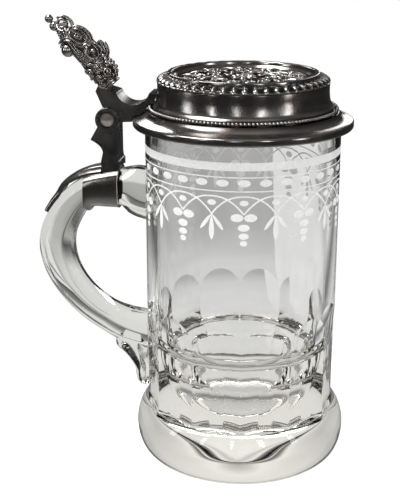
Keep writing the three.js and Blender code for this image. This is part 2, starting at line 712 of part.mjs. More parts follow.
// A place beside the thumblift's own axis: along it, in front of it, and across
const thumbAxis = new THREE.Vector2(0, 1).rotateAround(new THREE.Vector2(), degToRad(THUMB_LEAN));
const thumbFront = new THREE.Vector2(thumbAxis.y, -thumbAxis.x);
const thumbRoot = leverBack.clone().add(leverFront).divideScalar(2);
function thumbPlace(along, front, across) {
  const p = thumbRoot.clone().addScaledVector(thumbAxis, along).addScaledVector(thumbFront, front);
  return new THREE.Vector3(p.x, across, p.y);
}

// A ball or disc of the thumblift: share of its length, forward, across
function thumbKnob(geometry, share, front, across) {
  return solidOf(geometry).translate(thumbPlace(THUMB_LENGTH * share, front, across).toArray());
}

// Thumblift: a swelling carved body that leans back over the handle and ends in two balls
function thumblift() {
  const rings = THUMB_STATIONS.map(([share, back, front, width]) => (
    roundedSection(THUMB_HALF_WIDTH * width, (front - back) / 2, 14, 3).map(([across, out]) => (
      thumbPlace(THUMB_LENGTH * share, (front + back) / 2 + out, across)
    ))
  ));
  const slope = leverFront.clone().sub(leverBack);
  rings[0].forEach((p) => {
    p.z = leverBack.y + (p.x - leverBack.x) * (slope.y / slope.x) + SEAT_GAP;
  });
  let solid = lofted(rings);
  const ball = (radius) => new THREE.SphereGeometry(radius, BALL_STEPS, 8);
  for (const [share, front, radius] of THUMB_BALLS) {
    solid = solid.add(thumbKnob(ball(radius), share, front, 0));
  }
  for (const side of [-THUMB_HALF_WIDTH, THUMB_HALF_WIDTH]) {
    const [share, front, across, radius] = THUMB_VOLUTE;
    solid = solid.add(thumbKnob(ball(radius), share, front, side * across));
    for (const [discShare, discFront, discAcross, discR, thickness] of THUMB_DISCS) {
      const disc = new THREE.CylinderGeometry(discR, discR, thickness, BALL_STEPS);
      solid = solid.add(thumbKnob(disc, discShare, discFront, side * discAcross));
    }
  }
  return solid;
}

const mug = new THREE.Group();
mug.add(
  piece('glass_body', glassBody(), materials.glass),
  piece('glass_handle', glassHandle(), materials.glass),
  piece('handle_collar', handleCollar(), materials.pewter),
  piece('back_strap', backStrap(), materials.pewter),
  piece('hinge_post', hingePost(), materials.darkPewter),
  piece('hinge_pin', hingePin(), materials.steel),
  piece('pin_plug_near', pinPlug(-1), materials.plug),
  piece('pin_plug_far', pinPlug(1), materials.plug),
);

const lid = new THREE.Group();
lid.add(
  piece('lid_cover', lidCover(), materials.pewter),
  piece('bead_ring', beadRing(), materials.pewter),
  piece('gadroon_border', gadroonBorder(), materials.pewter),
  piece('lid_rim', lidRim(), materials.pewter),
  piece('relief_disc', reliefDisc(), materials.darkPewter),
  piece('lid_lever', lidLever(), materials.darkPewter),
  piece('thumblift', thumblift(), materials.darkPewter),
);
mug.add(lid);

export default mug;
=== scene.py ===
"""The looks of a lidded glass mug: clear cut glass, a frosted frieze and a dark pewter lid.

Sizes are written in millimetres, in the frame of the solids: +Z up, the origin on the mug's axis
on the standing surface, the handle along -X and the hinge pin along Y. Meshes are in metres.
"""

import logging
import math
from dataclasses import dataclass
from enum import Enum

import bmesh
import bpy
import numpy as np
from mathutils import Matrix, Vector

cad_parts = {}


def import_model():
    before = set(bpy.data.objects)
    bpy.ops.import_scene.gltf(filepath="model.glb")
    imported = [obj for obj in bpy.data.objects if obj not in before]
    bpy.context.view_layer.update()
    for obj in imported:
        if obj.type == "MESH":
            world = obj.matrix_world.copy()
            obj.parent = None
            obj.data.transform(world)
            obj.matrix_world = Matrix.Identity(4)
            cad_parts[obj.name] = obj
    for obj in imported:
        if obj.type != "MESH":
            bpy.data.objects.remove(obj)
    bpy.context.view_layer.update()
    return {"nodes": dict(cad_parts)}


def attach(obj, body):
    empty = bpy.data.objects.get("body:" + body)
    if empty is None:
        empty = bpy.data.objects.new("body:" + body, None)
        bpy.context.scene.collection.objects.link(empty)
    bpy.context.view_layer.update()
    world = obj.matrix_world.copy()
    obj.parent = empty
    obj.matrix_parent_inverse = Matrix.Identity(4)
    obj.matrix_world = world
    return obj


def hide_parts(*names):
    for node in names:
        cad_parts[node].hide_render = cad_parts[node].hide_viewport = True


LOG = logging.getLogger("mug")
MM = 0.001
TURN = 2 * math.pi
DOUBLES = 1e-7  # metres between points that are merged
CAST_SHARP = 32  # degrees
SIDE_SHARE = 0.48  # how much of a side the rounding of one corner may take
TINY = 1e-9  # keeps a length from being nought
WHITE = (1, 1, 1, 1)
WHITE_ALL_OVER = ((0.0, 1.0), (1.0, 1.0))

# Sizes that more than one piece needs
BODY_R = 42.5
BORE_R = 38.0
GLASS_TOP = 153.0
FOOT_R = 47.8
SEAT = 0.3
HINGE_X = -58.8
HINGE_Z = 153.2
HINGE_HALF = 6.5
RING_R = 5.35
RING_LENGTH = 2.36
RING_EDGE = 0.25
RING_COUNT = 5
RUN = 0.3
PIN_R = 1.6
PIN_HOLE_HALF = 12.0
PLUG_R = 3.15
LEDGE_Z = 158.4
DRUM_FOOT_R = 39.3
DRUM_R = 37.0
DRUM_TOP_Z = 170.4
BEAD_R = 0.8
SHOULDER_Z = 170.7
LID_RIM_R = 32.7
DISC_R = 29.0
HANDLE_HALF_WIDTH = 8.2
HANDLE_LOW_Z = 56.0
HANDLE_TOP_Z = 121.8


class Join(Enum):
    """How one solid changes another."""

    ADD = "UNION"
    TAKE = "DIFFERENCE"


class Body(Enum):
    """The moving bodies of the solids."""

    MUG = "mug"
    LID = "lid"


class Unseen(Enum):
    """What a lamp does not show in."""

    METAL = "what metal mirrors"
    GLASS = "what shows through glass"


class Surface:
    """A mesh put together from grids of points, in millimetres."""

    def __init__(self) -> None:
        """Starts empty."""
        self.points: list[np.ndarray] = []
        self.faces: list[list[int]] = []
        self.painted_shades: list[np.ndarray] = []
        self.count = 0

    def grid(self, points: np.ndarray, around: bool = True, along: bool = False,
             painted_shade: np.ndarray | None = None) -> "Surface":
        """Adds a grid of four-sided faces.

        Args:
            points: rows of points, as an array of rows, columns and x, y, z.
            around: whether the last column joins the first.
            along: whether the last row joins the first.
            painted_shade: how much painted shade each point gets, from 0 to 1.

        Returns:
            The surface itself.
        """
        rows, columns = points.shape[:2]
        index = np.arange(rows * columns).reshape(rows, columns) + self.count
        if around:
            index = np.concatenate([index, index[:, :1]], axis=1)
        if along:
            index = np.concatenate([index, index[:1]], axis=0)
        quads = np.stack([index[:-1, :-1], index[:-1, 1:], index[1:, 1:], index[1:, :-1]], axis=-1)
        self.faces.extend(quads.reshape(-1, 4).tolist())
        self.points.append(points.reshape(-1, 3))
        depth = np.zeros(rows * columns) if painted_shade is None else np.broadcast_to(
            painted_shade, (rows, columns)).reshape(-1)
        self.painted_shades.append(depth)
        self.count += rows * columns
        return self

    def copies(self, points: np.ndarray) -> "Surface":
        """Adds many closed grids of the same layout, none of it with painted shade.

        Args:
            points: an array of copies, rows, columns and x, y, z.

        Returns:
            The surface itself.
        """
        total, rows, columns = points.shape[:3]
        index = np.arange(total * rows * columns).reshape(total, rows, columns) + self.count
        index = np.concatenate([index, index[:, :, :1]], axis=2)
        corners = [index[:, :-1, :-1], index[:, :-1, 1:], index[:, 1:, 1:], index[:, 1:, :-1]]
        quads = np.stack(corners, axis=-1)
        self.faces.extend(quads.reshape(-1, 4).tolist())
        self.points.append(points.reshape(-1, 3))
        self.painted_shades.append(np.zeros(total * rows * columns))
        self.count += total * rows * columns
        return self

    def cap(self, points: np.ndarray) -> "Surface":
        """Adds one flat face with these corners."""
        self.faces.append(list(range(self.count, self.count + len(points))))
        self.points.append(points)
        self.painted_shades.append(np.zeros(len(points)))
        self.count += len(points)
        return self

    def build(self, name: str, sharp: float = 40.0) -> bpy.types.Object:
        """Makes the object, with its doubles merged and its faces turned outwards.

        Args:
            name: the object's name.
            sharp: the angle in degrees from which an edge stays sharp.

        Returns:
            The object, at the origin.
        """
        mesh = bpy.data.meshes.new(name)
        mesh.from_pydata((np.concatenate(self.points) * MM).tolist(), [], self.faces)
        # Each point's share of painted shade, which the metal turns into near black.
        mesh.attributes.new("painted_shade", "FLOAT", "POINT").data.foreach_set(
            "value", np.concatenate(self.painted_shades).astype(np.float32))
        shell = bmesh.new()
        shell.from_mesh(mesh)
        bmesh.ops.remove_doubles(shell, verts=shell.verts, dist=DOUBLES)
        bmesh.ops.recalc_face_normals(shell, faces=shell.faces)
        shell.to_mesh(mesh)
        shell.free()
        item = bpy.data.objects.new(name, mesh)
        bpy.context.scene.collection.objects.link(item)
        smooth(item, sharp)
        return item


def smooth(item: bpy.types.Object, sharp: float) -> None:
    """Shades an object smooth, apart from its edges sharper than an angle in degrees."""
    item.data.shade_smooth()
    item.data.set_sharp_from_angle(angle=math.radians(sharp))


def combine(base: bpy.types.Object, surface: Surface, how: Join) -> None:
    """Adds a closed surface to a solid or takes it away."""
    tool = surface.build("tool")
    step = base.modifiers.new("step", "BOOLEAN")
    step.operation = how.value
    step.solver = "EXACT"
    step.object = tool
    graph = bpy.context.evaluated_depsgraph_get()
    mesh = bpy.data.meshes.new_from_object(base.evaluated_get(graph))
    base.modifiers.clear()
    base.data = mesh
    mesh.name = base.name
    bpy.data.objects.remove(tool)


def circle(steps: int) -> np.ndarray:
    """Angles all round, as many as the steps, evenly spread from nought on."""
    return np.arange(steps) * TURN / steps


def directions(vectors: np.ndarray, least: float = 1e-12) -> np.ndarray:
    """Vectors brought to a length of one, where least keeps a length from being nought."""
    return vectors / (np.linalg.norm(vectors, axis=-1, keepdims=True) + least)


def polar(radius: np.ndarray, angle: np.ndarray, height: np.ndarray) -> np.ndarray:
    """Points about Z: x and y are the radius times the angle's cosine and sine."""
    x, y = radius * np.cos(angle), radius * np.sin(angle)
    return np.stack([x, y, np.broadcast_to(height, x.shape)], axis=-1)


def turned(profile: np.ndarray, steps: int) -> np.ndarray:
    """A profile of radius and height turned about Z."""
    return polar(profile[:, :1], circle(steps), profile[:, 1:2])


def rounded(corners: list[tuple[float, float, float]], steps: int = 5) -> np.ndarray:
    """A closed polygon with rounded corners.

    Each corner becomes a curve of the second degree that starts and ends at a distance from it:
    (1-t)^2 start + 2t(1-t) corner + t^2 end.

    Args:
        corners: two coordinates and the distance for each corner.
        steps: points on each corner.

    Returns:
        The points, one row each.
    """
    data = np.array(corners, dtype=float)
    corner, reach = data[:, :2], data[:, 2:]
    sides = [np.roll(corner, shift, axis=0) - corner for shift in (1, -1)]
    lengths = [np.linalg.norm(side, axis=1, keepdims=True) + TINY for side in sides]
    start, end = [corner + side / length * np.minimum(reach, SIDE_SHARE * length)
                  for side, length in zip(sides, lengths)]
    t = np.linspace(0, 1, steps)[:, None, None]
    curve = (1 - t) ** 2 * start + 2 * t * (1 - t) * corner + t ** 2 * end
    return curve.transpose(1, 0, 2).reshape(-1, 2)


def quarter(start: tuple[float, float], end: tuple[float, float], steps: int,
            fullness: float = 2.0) -> np.ndarray:
    """A quarter of a superellipse, upright at its start and level at its end.

    Args:
        start: radius and height where the curve is upright.
        end: radius and height where it is level.
        steps: points on it.
        fullness: 2 for an ellipse, more for a squarer curve.

    Returns:
        The points, one row each.
    """
    angle = np.linspace(0, math.pi / 2, steps)
    across = np.abs(np.cos(angle)) ** (2 / fullness)
    along = np.abs(np.sin(angle)) ** (2 / fullness)
    across[-1] = 0
    radius = end[0] + (start[0] - end[0]) * across
    return np.stack([radius, start[1] + (end[1] - start[1]) * along], axis=1)


def through(stations: np.ndarray, count: int) -> tuple[np.ndarray, np.ndarray]:
    """A smooth line through stations, as a centripetal Catmull-Rom spline.

    Args:
        stations: one row for each station.
        count: how many points the line gets.

    Returns:
        The points and their rates of change, one row each.
    """
    ends = [2 * stations[:1] - stations[1:2], stations, 2 * stations[-1:] - stations[-2:-1]]
    knots = np.concatenate(ends)
    span = np.maximum(np.linalg.norm(np.diff(knots, axis=0), axis=1) ** 0.5, 1e-4)
    place = np.linspace(0, len(stations) - 1, count)
    segment = np.minimum(place.astype(int), len(stations) - 2)
    w = (place - segment)[:, None]
    p0, p1, p2, p3 = (knots[segment + k] for k in range(4))
    d0, d1, d2 = (span[segment + k][:, None] for k in range(3))
    m1 = ((p1 - p0) / d0 - (p2 - p0) / (d0 + d1) + (p2 - p1) / d1) * d1
    m2 = ((p2 - p1) / d1 - (p3 - p1) / (d1 + d2) + (p3 - p2) / d2) * d1
    c2, c3 = -3 * p1 + 3 * p2 - 2 * m1 - m2, 2 * p1 - 2 * p2 + m1 + m2
    return p1 + m1 * w + c2 * w ** 2 + c3 * w ** 3, m1 + 2 * c2 * w + 3 * c3 * w ** 2


def superellipse(half_width: np.ndarray, half_height: np.ndarray, steps: int,
                 fullness: float) -> np.ndarray:
    """Rows of superellipse sections: each point is half a side times cosine or sine to a power."""
    angle = circle(steps)
    c, s = np.cos(angle), np.sin(angle)
    across = half_width[:, None] * np.sign(c) * np.abs(c) ** (2 / fullness)
    out = half_height[:, None] * np.sign(s) * np.abs(s) ** (2 / fullness)
    return np.stack([across, out], axis=-1)


def capped(rings: np.ndarray) -> np.ndarray:
    """Rings of points with a row on the middle of each end, so that the surface closes."""
    ends = (rings[0], rings[-1])
    first, last = (np.broadcast_to(ring.mean(axis=0), ring.shape)[None] for ring in ends)
    return np.concatenate([first, rings, last])


def closed(rows: np.ndarray) -> np.ndarray:
    """Many copies of rings at once, each with a row on the middle of both its ends."""
    first, last = (np.broadcast_to(end.mean(axis=2, keepdims=True), end.shape)
                   for end in (rows[:, :1], rows[:, -1:]))
    return np.concatenate([first, rows, last], axis=1)


def tubes(paths: np.ndarray, radius: np.ndarray, upright: tuple, sides: int = 8) -> np.ndarray:
    """Round tubes along paths, closed at both ends.

    A ring's points are the path's point plus the radius times cosine and sine of two directions that
    are square to the path: the cross product of the path with the upright, and of the path with that.

    Args:
        paths: an array of paths, points and their three coordinates.
        radius: the tube's radius at each point, for one path or for all.
        upright: a direction that no path runs along.
        sides: points on each ring.

    Returns:
        An array of paths, rings, points and three coordinates.
    """
    ahead = directions(np.gradient(paths, axis=1))
    first = directions(np.cross(ahead, np.array(upright, float)))
    second = np.cross(ahead, first)
    angle = circle(sides)
    around = first[:, :, None] * np.cos(angle)[:, None] + second[:, :, None] * np.sin(angle)[:, None]
    return closed(paths[:, :, None] + around * np.broadcast_to(radius, paths.shape[:2])[:, :, None, None])


def balls(centres: np.ndarray, radius: np.ndarray, sides: int = 12) -> np.ndarray:
    """Balls from their centres and radii: the usual two angles, one across and one round."""
    tilt = np.linspace(-math.pi / 2, math.pi / 2, sides // 2 + 1)[:, None]
    spin = circle(sides)[None, :]
    across, up = np.cos(tilt), np.sin(tilt) + 0 * spin
    unit = np.stack([across * np.cos(spin), across * np.sin(spin), up], axis=-1)
    return centres[:, None, None, :] + unit[None] * np.asarray(radius, float)[:, None, None, None]


def on_hinge(rings: np.ndarray) -> np.ndarray:
    """Points about Z laid about the hinge's axis, which runs along Y."""
    return rings[..., [0, 2, 1]] + np.array([HINGE_X, 0, HINGE_Z])


def bar(radius: float, start: float, end: float, steps: int = 64, edge: float = 0.0) -> np.ndarray:
    """A round bar along Y about the hinge's axis, as closed rings with edges rounded by a distance."""
    profile = rounded([(0, start, 0), (radius, start, edge), (radius, end, edge), (0, end, 0)], 4)
    return on_hinge(turned(profile, steps))


def plate(outline: np.ndarray, half: float) -> Surface:
    """An outline in x and z as a plate along Y: the same points at both ends, and a face on each."""
    rings = [np.stack([outline[:, 0], np.full(len(outline), y), outline[:, 1]], axis=1)
             for y in (-half, half)]
    return Surface().grid(np.stack(rings)).cap(rings[0]).cap(rings[1])


def soften(item: bpy.types.Object, width: float) -> None:
    """Rounds a cast piece's edges by a width in millimetres, where they are sharper than CAST_SHARP."""
    edge = item.modifiers.new("edges", "BEVEL")
    edge.width = width * MM
    edge.segments = 2
    edge.limit_method = "ANGLE"
    edge.angle_limit = math.radians(CAST_SHARP)
    edge.use_clamp_overlap = True


def fill_ramp(ramp: bpy.types.Node, stops: tuple) -> None:
    """Sets a colour ramp to grey levels, each at its place."""
    elements = ramp.color_ramp.elements
    while len(elements) < len(stops):
        elements.new(0.5)
    for element, (place, level) in zip(elements, stops):
        element.position = place
        element.color = (level, level, level, 1)


class Shader:
    """Builds one material from nodes."""

    def __init__(self, name: str) -> None:
        """Starts a material with a Principled shader."""
        self.material = bpy.data.materials.new(name)
        self.material.use_nodes = True
        self.tree = self.material.node_tree
        self.tree.nodes.clear()
        self.shader = self.node("ShaderNodeBsdfPrincipled")
        self.output = self.node("ShaderNodeOutputMaterial", Surface=self.shader.outputs[0])
        self.place = self.node("ShaderNodeTexCoord").outputs["Object"]

    def node(self, kind: str, **inputs: object) -> bpy.types.Node:
        """Adds a node and fills its inputs: a socket is linked, a value is written."""
        node = self.tree.nodes.new(kind)
        for key, value in inputs.items():
            self.put(node.inputs[key.replace("_", " ")], value)
        return node

    def put(self, socket: bpy.types.NodeSocket, value: object) -> None:
        """Links a socket to another, or writes a value on it."""
        if isinstance(value, bpy.types.NodeSocket):
            self.tree.links.new(value, socket)
        else:
            socket.default_value = value

    def noise(self, scale: float, detail: float = 3.0,
              stretch: tuple | None = None) -> bpy.types.NodeSocket:
        """A noise pattern on Object coordinates; stretch scales its x, y and z."""
        place = self.place
        if stretch:
            place = self.node("ShaderNodeMapping", Vector=place, Scale=stretch).outputs[0]
        return self.node("ShaderNodeTexNoise", Vector=place, Scale=scale, Detail=detail).outputs["Fac"]

    def remap(self, value: bpy.types.NodeSocket, low: float, high: float, to_low: float,
              to_high: float) -> bpy.types.NodeSocket:
        """A value moved from one range to another, held within it."""
        node = self.node("ShaderNodeMapRange", Value=value)
        for key, number in (("From Min", low), ("From Max", high), ("To Min", to_low), ("To Max", to_high)):
            node.inputs[key].default_value = number
        return node.outputs[0]

    def mix(self, share: object, first: object, second: object) -> bpy.types.NodeSocket:
        """Two colours mixed by a share."""
        node = self.tree.nodes.new("ShaderNodeMix")
        node.data_type = "RGBA"
        self.put(node.inputs[0], share)
        self.put(node.inputs[6], first)
        self.put(node.inputs[7], second)
        return node.outputs[2]

    def attribute(self, name: str) -> bpy.types.NodeSocket:
        """The piece's own attribute as a number."""
        node = self.tree.nodes.new("ShaderNodeAttribute")
        node.attribute_name = name
        return node.outputs["Fac"]

    def bump(self, height: bpy.types.NodeSocket, strength: float, distance: float,
             under: bpy.types.NodeSocket | None = None) -> bpy.types.NodeSocket:
        """A bump from a height, over another bump where one is given."""
        node = self.node("ShaderNodeBump", Height=height, Strength=strength, Distance=distance)
        if under:
            self.put(node.inputs["Normal"], under)
        return node.outputs[0]

    def math(self, operation: str, first: object, second: object) -> bpy.types.NodeSocket:
        """Two numbers put together by one operation."""
        node = self.tree.nodes.new("ShaderNodeMath")
        node.operation = operation
        self.put(node.inputs[0], first)
        self.put(node.inputs[1], second)
        return node.outputs[0]

    def steps(self, value: bpy.types.NodeSocket, stops: tuple) -> bpy.types.NodeSocket:
        """A value looked up between stops, each a place and what the value is there."""
        last = stops[-1][0]
        share = self.remap(value, 0.0, last, 0.0, 1.0)
        ramp = self.node("ShaderNodeValToRGB", Fac=share)
        fill_ramp(ramp, tuple((place / last, level) for place, level in stops))
        return ramp.outputs["Color"]

    def blend(self, share: object, first: bpy.types.NodeSocket,
              second: bpy.types.NodeSocket) -> bpy.types.NodeSocket:
        """Two shaders blended by a share."""
        node = self.tree.nodes.new("ShaderNodeMixShader")
        self.put(node.inputs[0], share)
        self.put(node.inputs[1], first)
        self.put(node.inputs[2], second)
        return node.outputs[0]

    def finish(self, shader: bpy.types.NodeSocket, socket: str = "Surface") -> None:
        """Links a shader to the material's output, for the surface or for what lies inside it."""
        self.put(self.output.inputs[socket], shader)

    def surface(self, **inputs: object) -> bpy.types.Material:
        """Fills the shader's inputs and gives the material."""
        for key, value in inputs.items():
            self.put(self.shader.inputs[key.replace("_", " ")], value)
        return self.material


@dataclass(frozen=True)
class GlassFinish:
    """Clear pressed and cut glass, with slow waves in it, that colours light with depth.

    Close to the surface that it stands on it is worn to dark specks. Heights are in metres.
    """

    name: str = "clear_glass"
    tint: tuple = (0.985, 0.985, 0.985, 1)
    deep_tint: tuple = (0.972, 0.972, 0.965, 1)
    shade: tuple = (0.96, 0.965, 0.965, 1)
    worn: tuple = (0.3, 0.3, 0.29, 1)
    depth_tint: tuple = (1.0, 0.88, 0.45, 1)
    density: float = 1.9
    ior: float = 1.52
    waves: float = 0.05
    wave_scale: float = 45
    wave_height: float = 0.0006
    cloud_scale: float = 18
    wear_scale: float = 1100
    wear_top: tuple = (0.0005, 0.0012)
    wear: float = 0.8
    smear_scale: float = 220
    smear: float = 0.03

    def material(self) -> bpy.types.Material:
        """The material of the glass."""
        s = Shader(self.name)
        colour = s.mix(s.noise(self.cloud_scale, 2), self.tint, self.deep_tint)
        waves = s.bump(s.noise(self.wave_scale, 1), self.waves, self.wave_height)
        height = s.node("ShaderNodeSeparateXYZ", Vector=s.place).outputs["Z"]
        worn = s.math("MULTIPLY", s.remap(height, *self.wear_top, 1.0, 0.0),
                      s.remap(s.noise(self.wear_scale, 4), 0.48, 0.56, 0.0, self.wear))
        colour = s.mix(worn, colour, self.worn)
        rough = s.remap(s.noise(self.smear_scale, 3), 0.45, 0.75, 0.0, self.smear)
        material = s.surface(Base_Color=colour, Roughness=rough, Transmission_Weight=1.0, IOR=self.ior,
                             Normal=waves)
        lit_through = s.node("ShaderNodeBsdfTransparent", Color=self.shade)
        shadow = s.node("ShaderNodeLightPath").outputs["Is Shadow Ray"]
        s.finish(s.blend(shadow, s.shader.outputs[0], lit_through.outputs[0]))
        inside = s.node("ShaderNodeVolumeAbsorption", Color=self.depth_tint, Density=self.density)
        s.finish(inside.outputs[0], "Volume")
        return material


@dataclass(frozen=True)
class FrostFinish:
    """Glass ground matt by the engraver's wheel."""

    name: str = "frosted_cut"
    white: tuple = (0.96, 0.96, 0.955, 1)
    grey: tuple = (0.86, 0.865, 0.87, 1)
    roughness: float = 0.6
    grain_scale: float = 3000
    grain_height: float = 0.00005
    thin_scale: float = 900
    thin: tuple = (0.14, 0.02)

    def material(self) -> bpy.types.Material:
        """The material of the frosted cuts."""
        s = Shader(self.name)
        grain = s.noise(self.grain_scale, 4)
        colour = s.mix(s.remap(grain, 0.35, 0.65, 0, 1), self.grey, self.white)
        material = s.surface(Base_Color=colour, Roughness=self.roughness,
                             Normal=s.bump(grain, 0.25, self.grain_height))
        lit_through = s.node("ShaderNodeBsdfTranslucent", Color=self.white)
        clear = s.node("ShaderNodeBsdfTransparent", Color=WHITE)
        frosted = s.blend(0.5, s.shader.outputs[0], lit_through.outputs[0])
        thin = s.remap(s.noise(self.thin_scale, 3), 0.3, 0.7, *self.thin)
        s.finish(s.blend(thin, frosted, clear.outputs[0]))
        return material


@dataclass(frozen=True)
class MetalFinish:
    """Aged pewter or steel, lighter and darker in clouds and warm in stains, darkened to near black by each
    piece's painted shade.
    """

    name: str
    light: tuple
    dark: tuple
    warm: tuple
    rough_low: float = 0.2
    rough_high: float = 0.38
    painted_shade_strength: float = 0.85
    scratches: float = 0.12
    dents: float = 0.12
    painted_shade_colour: tuple = (0.012, 0.011, 0.01, 1)
    cloud_scale: float = 38
    stain_scale: float = 85
    stain: float = 0.6
    rough_scale: float = 120
    dent_scale: float = 150
    dent_height: float = 0.0005
    scratch_scale: float = 1400
    scratch_height: float = 0.00008

    def material(self) -> bpy.types.Material:
        """The material of the metal."""
        s = Shader(self.name)
        clouds = s.noise(self.cloud_scale, 4)
        colour = s.mix(s.remap(clouds, 0.35, 0.68, 0, 1), self.light, self.dark)
        colour = s.mix(s.remap(s.noise(self.stain_scale, 5), 0.5, 0.72, 0, self.stain), colour, self.warm)
        # Painted shade: the points' shade share mixes the colour towards near black.
        painted_shade = s.remap(s.attribute("painted_shade"), 0.05, 0.95, 0, self.painted_shade_strength)
        colour = s.mix(painted_shade, colour, self.painted_shade_colour)
        rough = s.remap(s.noise(self.rough_scale, 6), 0.3, 0.7, self.rough_low, self.rough_high)
        dents = s.bump(s.noise(self.dent_scale, 2), self.dents, self.dent_height)
        streaks = s.noise(self.scratch_scale, 3, (1, 1, 0.12))
        scratches = s.bump(streaks, self.scratches, self.scratch_height, dents)
        return s.surface(Base_Color=colour, Metallic=1.0, Roughness=rough, Normal=scratches)


DRAWN_GLASS = GlassFinish("drawn_glass", (0.985, 0.985, 0.975, 1), (0.945, 0.95, 0.92, 1),
                          density=3.0, waves=0.7, wave_scale=60)
PEWTER = MetalFinish("aged_pewter", (0.4, 0.385, 0.37, 1), (0.26, 0.245, 0.235, 1),
                     (0.3, 0.235, 0.2, 1), 0.12, 0.26)
# A lighter copy of the pewter for the ornaments: painted highlight.
HIGHLIGHT_PEWTER = MetalFinish("pewter_painted_highlight", (0.58, 0.56, 0.54, 1), (0.36, 0.34, 0.33, 1),
                     (0.42, 0.35, 0.31, 1), 0.14, 0.3, 0.97)
# A darker copy of the pewter for the hinge post and the lever: painted shade.
SHADE_PEWTER = MetalFinish("dark_pewter", (0.25, 0.243, 0.236, 1), (0.12, 0.115, 0.112, 1),
                          (0.16, 0.135, 0.115, 1), 0.2, 0.38)
STEEL = MetalFinish("pin_steel", (0.5, 0.5, 0.5, 1), (0.36, 0.36, 0.37, 1), (0.32, 0.25, 0.2, 1))
PLUG = MetalFinish("pin_plug", (0.66, 0.6, 0.54, 1), (0.44, 0.39, 0.34, 1), (0.5, 0.4, 0.32, 1), 0.3, 0.5)


class Finishes:
    """Every finish, each made once."""

    def __init__(self) -> None:
        """Makes the materials."""
        self.glass = GlassFinish().material()
        self.drawn_glass = DRAWN_GLASS.material()
        self.frost = FrostFinish().material()
        self.pewter = PEWTER.material()
        self.bright = HIGHLIGHT_PEWTER.material()
        self.dark = SHADE_PEWTER.material()
        self.steel = STEEL.material()
        self.plug = PLUG.material()


def finish_piece(item: bpy.types.Object, body: Body, slot: str, material: bpy.types.Material,
                 *nodes: str) -> bpy.types.Object:
    """Gives a piece its material and its body, and hides the nodes that it stands for."""
    item.data.materials.clear()
    item.data.materials.append(material)
    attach(item, body.value)
    if nodes:
        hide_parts(*nodes)
    LOG.info("%s: %d faces, rides on %s", item.name, len(item.data.polygons), body.value)
    return item


